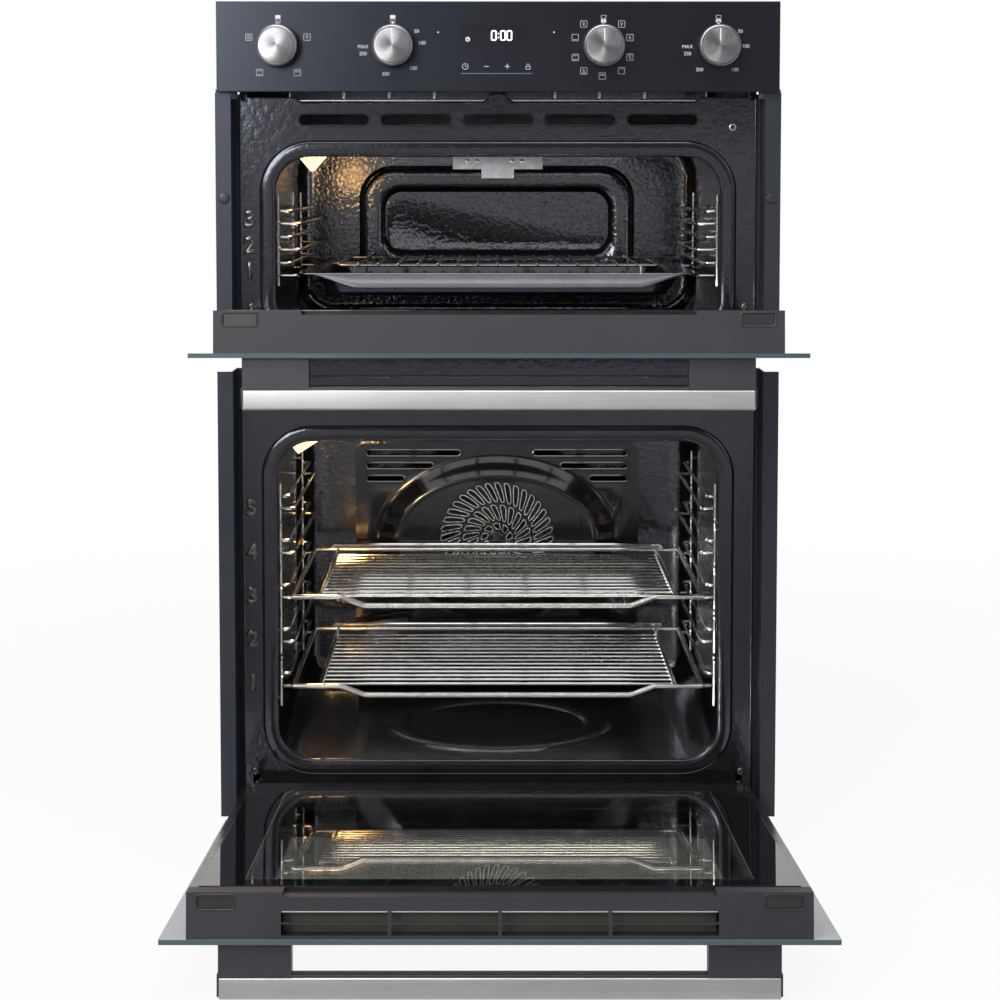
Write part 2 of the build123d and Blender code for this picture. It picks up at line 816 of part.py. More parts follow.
lower_rails = spread(lower_opening[0] + lower_level_base, lower_opening[1] - lower_level_top_room, lower_levels)
upper_rails = spread(upper_opening[0] + upper_level_base, upper_opening[1] - upper_level_top_room, upper_levels)
upper_reach = half_cavity - ladder_offset - pan_width / 2 + shelf_lap
lower_reach = half_cavity - ladder_offset - shelf_width / 2 + shelf_lap
with BuildPart() as upper_side_ladders:
    for side in both_sides:
        ladder(side, upper_rails, upper_reach, upper_rails[0] - upper_ladder_ends[0],
               upper_rails[-1] + guide_gap + upper_ladder_ends[1])
save(upper_side_ladders, "upper_side_ladders")
with BuildPart() as lower_side_ladders:
    for side in both_sides:
        ladder(side, lower_rails, lower_reach, lower_rails[0] - lower_ladder_ends[0],
               lower_rails[-1] + guide_gap + lower_ladder_ends[1])
save(lower_side_ladders, "lower_side_ladders")

# Wire shelves on the first and third levels
shelf_dip = 10.0
dip_bend = 12.0
dip_starts = 0.68
dip_ends = 0.54
bar_half = 200.0
bar_wire = 1.7
bar_margin = 24.0
bearer_wire = 0.8 * shelf_wire
backstop_rise = 6.0
backstop_share = 0.9
for node, rail in (("upper_shelf", lower_rails[2]), ("lower_shelf", lower_rails[0])):
    shelf_z = rail + ladder_wire + rest_clearance + shelf_wire
    near = casing_front + shelf_front
    far = near + shelf_length
    half = shelf_width / 2 - shelf_wire
    bearer = bar_half - 4.0
    stop = half * backstop_share
    with BuildPart() as shelf:
        for side in both_sides:
            straight_wire((side * half, front + near, shelf_z), (side * half, front + far, shelf_z), shelf_wire)
            straight_wire(
                (side * bearer, front + near, shelf_z), (side * bearer, front + far, shelf_z), bearer_wire
            )
        straight_wire((-half, front + far, shelf_z), (half, front + far, shelf_z), shelf_wire)
        wire_sweep(
            ((-half, shelf_z), (-half * dip_starts, shelf_z), (-half * dip_ends, shelf_z - shelf_dip),
             (half * dip_ends, shelf_z - shelf_dip), (half * dip_starts, shelf_z), (half, shelf_z)),
            face_plane(near), shelf_wire, dip_bend,
        )
        wire_sweep(
            ((-stop, shelf_z), (-stop, shelf_z + backstop_rise),
             (stop, shelf_z + backstop_rise), (stop, shelf_z)),
            face_plane(far), bearer_wire, backstop_rise / 2,
        )
        bar_z = shelf_z - shelf_wire
        for depth in spread(near + bar_margin, far - bar_margin, shelf_bars):
            straight_wire((-bar_half, front + depth, bar_z), (bar_half, front + depth, bar_z), bar_wire)
    save(shelf, node)

# Grill pan on the lowest upper level: sloping tray with a flange and a dipped front lip
pan_z = upper_rails[0] + ladder_wire + rest_clearance
pan_near = casing_front + shelf_front
pan_far = pan_near + pan_length
pan_middle = (pan_near + pan_far) / 2
pan_draft = 10.0
rim_corner = 12.0
tray_corner = 26.0
floor_corner = 20.0
lip_drop = 14.0
lip_share = 0.76
lip_slope = 50.0
with BuildPart() as grill_pan:
    with BuildSketch(floor_plane(pan_z)):
        with Locations((0, pan_middle)):
            RectangleRounded(pan_width, pan_length, rim_corner)
    extrude(amount=pan_sheet)
    half_x = pan_width / 2 - pan_flange
    half_y = pan_length / 2 - pan_flange
    for wall, mode in ((0, Mode.ADD), (pan_sheet, Mode.SUBTRACT)):
        with BuildSketch(floor_plane(pan_z + pan_sheet)):
            with Locations((0, pan_middle)):
                RectangleRounded(2 * (half_x - wall), 2 * (half_y - wall), tray_corner)
        with BuildSketch(floor_plane(pan_z + pan_sheet - pan_height + wall)):
            with Locations((0, pan_middle)):
                RectangleRounded(2 * (half_x - pan_draft - wall), 2 * (half_y - pan_draft - wall), floor_corner)
        loft(ruled=True, mode=mode)
    with BuildSketch(face_plane(pan_near)):
        with Locations((0, pan_z + pan_sheet)):
            Trapezoid(pan_width * lip_share, lip_drop, lip_slope, rotation=180, align=(Align.CENTER, Align.MIN))
    extrude(amount=-pan_sheet)
save(grill_pan, "grill_pan")

# Trivet that stands in the pan
trivet_wire = 1.6
trivet_bars = 17
trivet_margin = 14.0
trivet_rise = 31.0
trivet_overhang = 4.0
trivet_half_x = half_x - pan_draft - trivet_margin
trivet_half_y = half_y - pan_draft - trivet_margin
trivet_floor = pan_z + 2 * pan_sheet - pan_height + rest_clearance
trivet_z = trivet_floor + trivet_rise
trivet_leg_x = 0.9 * trivet_half_x
trivet_bar_half = trivet_half_y + trivet_overhang
with BuildPart() as trivet:
    for end in both_sides:
        y = front + pan_middle + end * trivet_half_y
        straight_wire((-trivet_half_x, y, trivet_z), (trivet_half_x, y, trivet_z), trivet_wire)
        for x in (-trivet_leg_x, trivet_leg_x):
            straight_wire((x, y, trivet_z), (x, y, trivet_floor), trivet_wire)
    for x in spread(-trivet_half_x, trivet_half_x, trivet_bars):
        straight_wire(
            (x, front + pan_middle - trivet_bar_half, trivet_z + trivet_wire),
            (x, front + pan_middle + trivet_bar_half, trivet_z + trivet_wire), trivet_wire,
        )
save(trivet, "trivet")

# Control panel: folded steel fascia with returns that meet the casing
knob_places = (-outer_knob_x, -inner_knob_x, inner_knob_x, outer_knob_x)
panel_edge = 1.0
return_sheet = 1.5
bottom_return = 26.0
bottom_return_rise = 4.0
spindle_room = 2.0
window_z = panel_bottom + window_rise
with BuildPart() as control_panel:
    with BuildSketch(face_plane(0)):
        rectangle(-half_front, half_front, panel_bottom, panel_top)
    extrude(amount=-panel_skin)
    fillet(control_panel.edges().group_by(Axis.Y)[0], panel_edge)
    with BuildSketch(face_plane(panel_skin)):
        for side in both_sides:
            edge = side * (half_casing - casing_sheet)
            rectangle(min(edge, side * half_casing), max(edge, side * half_casing), upper_frame_top, casing_top)
        rectangle(-half_casing, half_casing, casing_top - return_sheet, casing_top)
    extrude(amount=panel_skin - casing_front)
    with BuildSketch(face_plane(panel_skin)):
        return_z = panel_bottom + bottom_return_rise
        rectangle(-half_casing, half_casing, return_z, return_z + return_sheet)
    extrude(amount=-bottom_return)
    with BuildSketch(face_plane(0)):
        for x in knob_places:
            with Locations((x, knob_z)):
                Circle(spindle_radius + spindle_room)
    extrude(amount=-panel_skin, mode=Mode.SUBTRACT)
    with BuildSketch(face_plane(0)):
        with Locations((0, window_z)):
            Rectangle(window_width, window_height)
    extrude(amount=-window_skin, mode=Mode.SUBTRACT)
save(control_panel, "control_panel")

# Display window, flush in the fascia
with BuildPart() as display_window:
    with BuildSketch(face_plane(0)):
        with Locations((0, window_z)):
            Rectangle(window_width, window_height)
    extrude(amount=-window_skin)
save(display_window, "display_window")

# Control board behind the display, with its relays and capacitors
display_depth = 8.0
board = (150.0, 66.0, 1.6)
board_rise = 46.0
relay = (20.0, 28.0)
relay_places = (-44.0, -18.0, 8.0)
relay_rise = 40.0
capacitors = ((40.0, 9.0), (60.0, 7.0))
capacitor_rise = 44.0
component_height = 16.0
with BuildPart() as control_board:
    with BuildSketch(face_plane(panel_skin)):
        with Locations((0, window_z)):
            Rectangle(window_width, window_height)
    extrude(amount=-display_depth)
    with BuildSketch(face_plane(panel_skin + display_depth)):
        with Locations((0, panel_bottom + board_rise)):
            Rectangle(board[0], board[1])
    extrude(amount=-board[2])
    with BuildSketch(face_plane(panel_skin + display_depth + board[2])):
        for x in relay_places:
            with Locations((x, panel_bottom + relay_rise)):
                Rectangle(relay[0], relay[1])
        for x, radius in capacitors:
            with Locations((x, panel_bottom + capacitor_rise)):
                Circle(radius)
    extrude(amount=-component_height)
save(control_board, "control_board")

# Rotary switches behind the panel, their spindles reaching into the knobs
spindle_reach = 17.0
with BuildPart() as rotary_switches:
    for x in knob_places:
        with BuildSketch(face_plane(panel_skin)):
            with Locations((x, knob_z)):
                RectangleRounded(switch_size, switch_size, 4.0)
        extrude(amount=-switch_depth)
        with BuildSketch(face_plane(panel_skin)):
            with Locations((x, knob_z)):
                Circle(spindle_radius)
        extrude(amount=panel_skin + spindle_reach)
save(rotary_switches, "rotary_switches")

# Knobs: turned caps with a waisted skirt and a pointer groove
socket_depth = spindle_reach - knob_gap + 1.0
skirt_inset = 2.4
skirt_length = 3.0
skirt_flare = 1.5
crest_length = 4.0
crest_inset = 3.2
pointer_length = 9.0
pointer_width = 1.6
pointer_depth = 0.8
pointer_reach = 0.62 * knob_radius
knob_names = ("upper_mode_knob", "upper_heat_knob", "lower_mode_knob", "lower_heat_knob")
for node, x in zip(knob_names, knob_places):
    with BuildPart() as knob:
        with BuildSketch(Plane((x, front - knob_gap, knob_z), x_dir=(1, 0, 0), z_dir=(0, 0, 1))):
            with BuildLine():
                Polyline(
                    (0, 0), (knob_radius - skirt_inset, 0), (knob_radius - skirt_inset, -skirt_length),
                    (knob_radius, -skirt_length - skirt_flare), (knob_radius, crest_length - knob_length),
                    (knob_radius - crest_inset / 2, crest_length / 4 - knob_length),
                    (knob_radius - crest_inset, -knob_length), (0, -knob_length), close=True,
                )
            make_face()
        revolve(axis=Axis((x, front, knob_z), (0, 1, 0)))
        with BuildSketch(face_plane(-knob_gap - knob_length)):
            with Locations((x, knob_z + pointer_reach)):
                SlotOverall(pointer_length, pointer_width, rotation=90)
        extrude(amount=-pointer_depth, mode=Mode.SUBTRACT)
        with BuildSketch(face_plane(-knob_gap)):
            with Locations((x, knob_z)):
                Circle(spindle_radius + running_clearance)
        extrude(amount=socket_depth, mode=Mode.SUBTRACT)
    save(knob, node)

# Air duct above the upper cavity, open at the front notches and under the blower
duct_drop = 8.0
blower_inset = 14.0
duct_floor = panel_bottom - duct_drop
duct_top = duct_floor + duct_height
blower_depth = casing_front + duct_length - blower_radius - blower_inset
blower_x = -40.0
duct_sheet = 1.2
with BuildPart() as air_duct:
    with BuildSketch(face_plane(casing_front)):
        rectangle(-duct_width / 2, duct_width / 2, duct_floor, duct_top)
        rectangle(
            duct_sheet - duct_width / 2, duct_width / 2 - duct_sheet,
            duct_floor + duct_sheet, duct_top - duct_sheet,
            mode=Mode.SUBTRACT,
        )
    extrude(amount=-duct_length)
    with BuildSketch(face_plane(casing_front + duct_length)):
        rectangle(-duct_width / 2, duct_width / 2, duct_floor, duct_top)
    extrude(amount=duct_sheet)
    with BuildSketch(floor_plane(duct_top)):
        with Locations((blower_x, blower_depth)):
            Circle(blower_radius * 0.7)
    extrude(amount=-2 * duct_sheet, mode=Mode.SUBTRACT)
save(air_duct, "air_duct")

# Blower housing: round scroll on the duct, its motor on top
housing_height = 34.0
housing_wall = 1.5
housing_radius = blower_radius + 10.0
blower_motor = (24.0, 16.0)
blower_shaft = 3.0
blower_shaft_gap = 4.0
with BuildPart() as blower_housing:
    with BuildSketch(floor_plane(duct_top)):
        with Locations((blower_x, blower_depth)):
            Circle(housing_radius)
    extrude(amount=housing_height)
    with BuildSketch(floor_plane(duct_top)):
        with Locations((blower_x, blower_depth)):
            Circle(housing_radius - housing_wall)
    extrude(amount=housing_height - housing_wall, mode=Mode.SUBTRACT)
    with BuildSketch(floor_plane(duct_top + housing_height)):
        with Locations((blower_x, blower_depth)):
            Circle(blower_motor[0])
    extrude(amount=blower_motor[1])
    with BuildSketch(floor_plane(duct_top + housing_height)):
        with Locations((blower_x, blower_depth)):
            Circle(blower_shaft)
    extrude(amount=blower_shaft_gap - housing_height)
save(blower_housing, "blower_housing")

# Blower wheel: disc, hub and a ring of blades
wheel_height = 22.0
wheel_disc = 1.5
wheel_hub_wall = 5.0
vane_count = 18
vane = (12.0, 1.5)
vane_sweep = 35.0
vane_inset = 7.0
wheel_gap = 2.0
wheel_top = duct_top + housing_height - housing_wall - wheel_gap
with BuildPart() as blower_wheel:
    with BuildSketch(floor_plane(wheel_top)):
        with Locations((blower_x, blower_depth)):
            Circle(blower_radius)
    extrude(amount=-wheel_disc)
    with BuildSketch(floor_plane(wheel_top - wheel_disc)):
        with Locations((blower_x, blower_depth)):
            with PolarLocations(blower_radius - vane_inset, vane_count):
                Rectangle(vane[0], vane[1], rotation=vane_sweep)
    extrude(amount=-wheel_height)
    with BuildSketch(floor_plane(wheel_top)):
        with Locations((blower_x, blower_depth)):
            Circle(blower_shaft + wheel_hub_wall)
    extrude(amount=-wheel_height)
    with BuildSketch(floor_plane(wheel_top)):
        with Locations((blower_x, blower_depth)):
            Circle(blower_shaft + running_clearance)
    extrude(amount=2 * wheel_height, both=True, mode=Mode.SUBTRACT)
save(blower_wheel, "blower_wheel")

# Hinge arms: flat levers that hook through the front frames and carry the doors
latch_setback = 9.0
hook_gap = 0.6
hook_drop = 6.0
hook_width = 8.0
arm_tail = 30.0
latch_depth = frame_depth - latch_setback
arm_slope = arm_rise / (frame_depth - hinge_depth)
with BuildPart() as hinge_arms:
    for bottom in (upper_bottom, lower_bottom):
        pivot_z = bottom + hinge_rise
        tail_z = pivot_z + arm_rise
        latch_z = pivot_z + arm_slope * (latch_depth - hinge_depth)
        for side in both_sides:
            with BuildSketch(side_plane(side * hinge_x)):
                with Locations((hinge_depth, pivot_z)):
                    Circle(eye_radius)
                with BuildLine():
                    Polyline(
                        (hinge_depth, pivot_z - arm_half), (frame_depth, tail_z - arm_half),
                        (casing_front + hook_gap, tail_z - arm_half),
                        (casing_front + hook_gap, tail_z - arm_half - hook_drop),
                        (casing_front + hook_width, tail_z - arm_half - hook_drop),
                        (casing_front + arm_tail, tail_z - arm_half),
                        (casing_front + arm_tail, tail_z + arm_half), (frame_depth, tail_z + arm_half),
                        (hinge_depth, pivot_z + arm_half), close=True,
                    )
                make_face()
                with Locations((hinge_depth, pivot_z)):
                    Circle(pin_radius + running_clearance, mode=Mode.SUBTRACT)
            extrude(amount=arm_sheet / 2, both=True)
            with BuildSketch(side_plane(side * hinge_x)):
                with Locations((latch_depth, latch_z)):
                    Circle(latch_pin)
            extrude(amount=arm_sheet / 2 + latch_clearance + latch_sheet, both=True)
save(hinge_arms, "hinge_arms")


def door_latch(side, bottom):
    """Forked clip that straddles a hinge arm and turns on its pin."""
    pivot_z = bottom + hinge_rise
    latch_z = pivot_z + arm_slope * (latch_depth - hinge_depth)
    crest = latch_z + arm_half + latch_crest
    fork_half = arm_sheet / 2 + latch_clearance
    with BuildSketch(side_plane(side * hinge_x)) as outline:
        rectangle(latch_depth - latch_half, latch_depth + latch_half, latch_z - latch_skirt, crest)
    extrude(outline.sketch, amount=fork_half + latch_sheet, both=True)
    with BuildSketch(side_plane(side * hinge_x)) as throat:
        rectangle(
            latch_depth - 2 * latch_half, latch_depth + 2 * latch_half,
            latch_z - 2 * latch_skirt, crest - latch_sheet,
        )
    extrude(throat.sketch, amount=fork_half, both=True, mode=Mode.SUBTRACT)
    with BuildSketch(side_plane(side * hinge_x)) as pivot_hole:
        with Locations((latch_depth, latch_z)):
            Circle(latch_pin + running_clearance)
    extrude(pivot_hole.sketch, amount=4 * arm_sheet, both=True, mode=Mode.SUBTRACT)


doors = (("upper", upper_bottom, upper_door_height), ("lower", lower_bottom, lower_door_height))
for name, bottom, height in doors:
    for side, hand in ((-1, "left"), (1, "right")):
        with BuildPart() as latch:
            door_latch(side, bottom)
        save(latch, f"{name}_{hand}_latch")

# Doors, each drawn in its own open plane
slot_half = latch_sheet + latch_clearance + arm_sheet / 2 + 1.2
slot_reach = 34.0
window_corner = 24.0
glass_corner = 2.0
trim_drop = 1.5
clip_back = 3.0
door_vents = {
    "columns": 4, "rows": 2, "pitch": 96.0, "row_pitch": 11.5, "length": 93.0, "height": 10.0, "depth": 14.0,
}
case_back_gap = 1.0
bar_corner = 2.0
for name, bottom, height in doors:
    body_top = height - top_trim_height
    middle = height / 2
    window_half = half_body - rail_width
    window = (body_base + rail_width, body_top - rail_width + top_trim_height)

    # Outer glass
    with BuildPart() as outer_glass:
        with BuildSketch(door_plane(bottom, 0)):
            with Locations((0, middle)):
                RectangleRounded(front_width, height, glass_corner)
        extrude(amount=-door_glass)
    save(outer_glass, f"{name}_door_glass")

    # Inner frame: pressed channel round the window, open towards the glass
    with BuildPart() as inner_frame:
        with BuildSketch(door_plane(bottom, door_depth)):
            rectangle(-half_body, half_body, body_base, body_top)
        extrude(amount=door_depth - door_glass)
        with BuildSketch(door_plane(bottom, door_depth - body_sheet)):
            rectangle(
                body_sheet - half_body, half_body - body_sheet, body_base + body_sheet, body_top - body_sheet
            )
            rounded(
                window_half + body_sheet, grown(window, body_sheet), window_corner + body_sheet,
                mode=Mode.SUBTRACT,
            )
        extrude(amount=door_depth, mode=Mode.SUBTRACT)
        with BuildSketch(door_plane(bottom, door_depth)):
            rounded(window_half, window, window_corner)
        extrude(amount=door_depth, mode=Mode.SUBTRACT)
        for side in both_sides:
            with BuildSketch(door_plane(bottom, door_depth)):
                with Locations((side * hinge_x, 0)):
                    rectangle(-slot_half, slot_half, 0, hinge_rise + slot_reach)
            extrude(amount=door_depth - door_glass, mode=Mode.SUBTRACT)
    save(inner_frame, f"{name}_door_frame")

    # Inner and middle panes, the inner one lapped over the window, the middle one seated in it
    with BuildPart() as panes:
        with BuildSketch(door_plane(bottom, door_depth - body_sheet)):
            rounded(window_half, window, window_corner)
        extrude(amount=pane)
        with BuildSketch(door_plane(bottom, door_depth - body_sheet - 5 * pane)):
            rounded(window_half, window, window_corner)
        extrude(amount=pane)
    save(panes, f"{name}_door_panes")

    # Top trim: channel along the free edge, with raised ends, clip pockets and, below, air vents
    with BuildPart() as top_trim:
        with BuildSketch(door_plane(bottom, door_glass)):
            rectangle(-half_body, half_body, body_top, height - trim_drop)
        extrude(amount=door_glass + ledge_height - door_depth)
        for side in both_sides:
            inner_end = side * (half_body - ledge_length)
            outer_end = side * half_body
            with BuildSketch(door_plane(bottom, door_depth - ledge_height)):
                rectangle(min(inner_end, outer_end), max(inner_end, outer_end), body_top, height - trim_drop)
            extrude(amount=-ledge_height)
        with BuildSketch(door_plane(bottom, door_glass + top_trim_wall)):
            rectangle(
                top_trim_wall - half_body, half_body - top_trim_wall,
                body_top, height - trim_drop - top_trim_wall,
            )
        extrude(amount=door_glass + ledge_height + 2 * top_trim_wall - door_depth, mode=Mode.SUBTRACT)
        clip_x = half_body - clip_inset - clip_length / 2
        clip_depth = door_depth - clip_back - clip_width / 2
        top_plane = Plane(
            door_point(bottom, 0, 0, height - trim_drop), x_dir=(1, 0, 0), z_dir=door_along
        )
        with BuildSketch(top_plane):
            with Locations((-clip_x, clip_depth), (clip_x, clip_depth)):
                Rectangle(clip_length + 2 * clip_clearance, clip_width + 2 * clip_clearance)
        extrude(amount=-top_trim_height, mode=Mode.SUBTRACT)
        if name == "lower":
            with BuildSketch(top_plane):
                with Locations((0, door_glass + door_vents["depth"])):
                    with GridLocations(
                        door_vents["pitch"], door_vents["row_pitch"],
                        door_vents["columns"], door_vents["rows"],
                    ):
                        Rectangle(door_vents["length"], door_vents["height"])
            extrude(amount=-top_trim_wall, mode=Mode.SUBTRACT)
    save(top_trim, f"{name}_door_trim")

    # Release clips: sunk buttons that slide into the trim
    for side, hand in ((-1, "left"), (1, "right")):
        clip_plane = Plane(
            door_point(bottom, 0, 0, height - trim_drop - clip_recess), x_dir=(1, 0, 0), z_dir=door_along
        )
        with BuildPart() as clip:
            with BuildSketch(clip_plane):
                with Locations((side * clip_x, clip_depth)):
                    RectangleRounded(clip_length, clip_width, 1.0)
            extrude(amount=-clip_body)
        save(clip, f"{name}_{hand}_clip")

    # Handle bar and the posts that stand it off the glass
    bar_top = height - handle_below_edge
    with BuildPart() as handle_bar:
        with BuildSketch(door_section(bottom, 0)):
            with Locations((-handle_standoff - handle_depth / 2, bar_top - handle_height / 2)):
                RectangleRounded(handle_depth, handle_height, bar_corner)
        extrude(amount=handle_length / 2, both=True)
    save(handle_bar, f"{name}_handle_bar")
    with BuildPart() as handle_posts:
        for side in both_sides:
            with BuildSketch(door_section(bottom, side * (handle_length - post_width) / 2)):
                rectangle(-handle_standoff, 0, bar_top - handle_height, bar_top)
            extrude(amount=post_width / 2, both=True)
    save(handle_posts, f"{name}_handle_posts")

    # Hinge cases: channels inside the frame with the pivot pin riveted across
    with BuildPart() as hinge_cases:
        for side in both_sides:
            for cheek in both_sides:
                x = side * hinge_x + cheek * (case_gap + case_sheet) / 2
                with BuildSketch(door_section(bottom, x)):
                    rectangle(
                        door_glass + case_back_gap, door_depth - body_sheet,
                        body_base + body_sheet, body_base + case_length,
                    )
                extrude(amount=case_sheet / 2, both=True)
            with BuildSketch(door_section(bottom, side * hinge_x)):
                rectangle(
                    door_glass + case_back_gap, door_glass + case_back_gap + case_sheet,
                    hinge_rise + 3 * eye_radius,
                    body_base + case_length,
                )
            extrude(amount=case_gap / 2, both=True)
            with BuildSketch(door_section(bottom, side * hinge_x)):
                with Locations((hinge_depth, hinge_rise)):
                    Circle(pin_radius)
            extrude(amount=case_gap / 2 + case_sheet, both=True)
    save(hinge_cases, f"{name}_hinge_cases")
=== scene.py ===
import json

import bmesh
import bpy
import numpy as np
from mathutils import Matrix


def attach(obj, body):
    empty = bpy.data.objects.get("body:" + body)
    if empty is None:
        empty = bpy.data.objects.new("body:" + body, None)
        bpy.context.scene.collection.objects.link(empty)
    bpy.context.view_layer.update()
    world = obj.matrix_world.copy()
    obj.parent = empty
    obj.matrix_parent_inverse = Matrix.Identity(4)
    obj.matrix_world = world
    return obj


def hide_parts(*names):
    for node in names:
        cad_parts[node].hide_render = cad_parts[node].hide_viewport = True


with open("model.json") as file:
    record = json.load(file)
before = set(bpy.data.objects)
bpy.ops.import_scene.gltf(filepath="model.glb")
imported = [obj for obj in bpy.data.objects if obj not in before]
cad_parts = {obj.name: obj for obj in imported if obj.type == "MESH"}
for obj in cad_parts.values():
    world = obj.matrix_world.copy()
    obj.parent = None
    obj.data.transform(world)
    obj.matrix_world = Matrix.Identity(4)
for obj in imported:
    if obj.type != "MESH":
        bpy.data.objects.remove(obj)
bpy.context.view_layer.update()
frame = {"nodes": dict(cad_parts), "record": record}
nodes = frame["nodes"]
scene = bpy.context.scene
mm = 0.001
print("frame: loaded", len(nodes), "nodes")


# shapes: every point is in millimetres, X right, Y into the oven, Z up

def unit(v):
    # each row divided by its length
    return v / np.maximum(np.linalg.norm(v, axis=-1, keepdims=True), 1e-12)


def around(count):
    # angles of a full turn, the last one short of the first
    return np.arange(count) / count * 2 * np.pi


def circle(radius, sides=12):
    a = around(sides)
    return np.stack([radius * np.cos(a), radius * np.sin(a)], -1)


def roundedLoop(halfU, halfV, radius, steps=7):
    # four quarter circles about the inset corners, joined by straight sides
    a = np.linspace(0, np.pi / 2, steps)[None] + np.arange(4)[:, None] * np.pi / 2
    su, sv = np.array([1, -1, -1, 1])[:, None], np.array([1, 1, -1, -1])[:, None]
    u = su * (halfU - radius) + radius * np.cos(a)
    v = sv * (halfV - radius) + radius * np.sin(a)
    return np.stack([u.ravel(), v.ravel()], -1)


def upright(loop, y):
    # flat (x, z) points stood up at one depth
    loop = np.asarray(loop, float)
    return np.stack([loop[:, 0], np.full(len(loop), y), loop[:, 1]], -1)


def lying(loop, z):
    # flat (x, y) points laid at one height
    return np.stack([loop[:, 0], loop[:, 1], np.full(len(loop), z)], -1)


def latticeFaces(rows, cols, wrapRows=False, wrapCols=False):
    # quads between neighbouring points of a rows-by-cols lattice, wrapped where a direction is closed
    r = np.arange(rows if wrapRows else rows - 1)
    c = np.arange(cols if wrapCols else cols - 1)
    i, j = np.meshgrid(r, c, indexing="ij")
    k, m = (i + 1) % rows, (j + 1) % cols
    return np.stack([i * cols + j, i * cols + m, k * cols + m, k * cols + j], -1).reshape(-1, 4)


def loft(rings, closed=False):
    # skin over a stack of equal closed rings; the first and last are filled unless the stack is closed
    rings = np.asarray(rings, float)
    rows, cols = rings.shape[:2]
    faces = latticeFaces(rows, cols, closed, True).tolist()
    if not closed:
        faces += [list(range(cols))[::-1], list(range((rows - 1) * cols, rows * cols))]
    return rings.reshape(-1, 3), faces


def carry(path, profile, normal, closed=False):
    # profile along a path: path point + u * side + v * normal, side = direction x normal, widened at mitres
    path, profile, normal = (np.asarray(a, float) for a in (path, profile, normal))
    ahead, behind = np.roll(path, -1, 0) - path, path - np.roll(path, 1, 0)
    if not closed:
        ahead[-1], behind[0] = behind[-1], ahead[0]
    ahead, behind = unit(ahead), unit(behind)
    run = unit(ahead + behind)
    mitre = 1 / np.maximum((run * ahead).sum(-1, keepdims=True), 0.3)
    side = unit(np.cross(run, normal)) * mitre
    rings = path[:, None] + profile[None, :, :1] * side[:, None] + profile[None, :, 1:] * normal
    return loft(rings, closed)


def bend(corners, radius, steps=6):
    # straight runs joined by arcs: each arc is centred on its corner's bisector, radius / cos(half turn) away
    p = np.asarray(corners, float)
    before, after = unit(p[1:-1] - p[:-2]), unit(p[2:] - p[1:-1])
    half = np.arccos(np.clip((before * after).sum(-1), -1, 1)) / 2
    inward, along = unit(after - before), unit(after + before)
    a = np.linspace(-1, 1, steps)[None, :, None] * half[:, None, None]
    centre = p[1:-1] + inward * radius / np.cos(half)[:, None]
    arcs = centre[:, None] + radius * (along[:, None] * np.sin(a) - inward[:, None] * np.cos(a))
    return np.concatenate([p[:1], arcs.reshape(-1, 3), p[-1:]])


def turned(profile, turns, centre):
    # profile of (radius, forward) pairs turned about the line through centre that points at the user
    profile = np.asarray(profile, float)
    a = around(turns)
    x = centre[0] + profile[:, :1] * np.cos(a)
    z = centre[2] + profile[:, :1] * np.sin(a)
    y = np.broadcast_to(centre[1] - profile[:, 1:], x.shape)
    return loft(np.stack([x, y, z], -1))


rodEnd = {"nose": 0.5, "tip": 0.6}


def rod(start, end, radius, sides=10):
    # straight wire with eased ends: rings of full radius, and smaller ones at the two tips
    start, end = np.asarray(start, float), np.asarray(end, float)
    run = unit(end - start)
    helper = np.array([0, 0, 1.0]) if abs(run[2]) < 0.9 else np.array([1.0, 0, 0])
    u = unit(np.cross(run, helper))
    v = np.cross(run, u)
    length, nose, tip = np.linalg.norm(end - start), rodEnd["nose"] * radius, rodEnd["tip"] * radius
    along = np.array([0, nose, length - nose, length])
    size = np.array([tip, radius, radius, tip])
    ring = circle(1.0, sides)
    return loft(start + along[:, None, None] * run
                + size[:, None, None] * (ring[None, :, :1] * u + ring[None, :, 1:] * v))


def wire(corners, radius, normal, bendRadius, sides=10):
    return carry(bend(corners, bendRadius), circle(radius, sides), normal)


def piece(name, shells, body, material, replaced=(), sharp=35, kept=0):
    # one mesh of several shells, turned to face outwards; the first kept faces stay as they come
    counts = np.cumsum([0] + [len(v) for v, f in shells])
    verts = np.concatenate([v for v, f in shells]) * mm
    faces = [[i + k for i in face] for (v, f), k in zip(shells, counts) for face in f]
    mesh = bpy.data.meshes.new(name)
    mesh.from_pydata(verts.tolist(), [], faces)
    shape = bmesh.new()
    shape.from_mesh(mesh)
    shape.faces.ensure_lookup_table()
    bmesh.ops.recalc_face_normals(shape, faces=shape.faces[kept:])
    shape.to_mesh(mesh)
    shape.free()
    mesh.polygons.foreach_set("use_smooth", np.ones(len(mesh.polygons), bool))
    mesh.set_sharp_from_angle(angle=np.radians(sharp))
    mesh.materials.append(material)
    obj = bpy.data.objects.new(name, mesh)
    scene.collection.objects.link(obj)
    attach(obj, body)
    if replaced:
        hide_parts(*replaced)


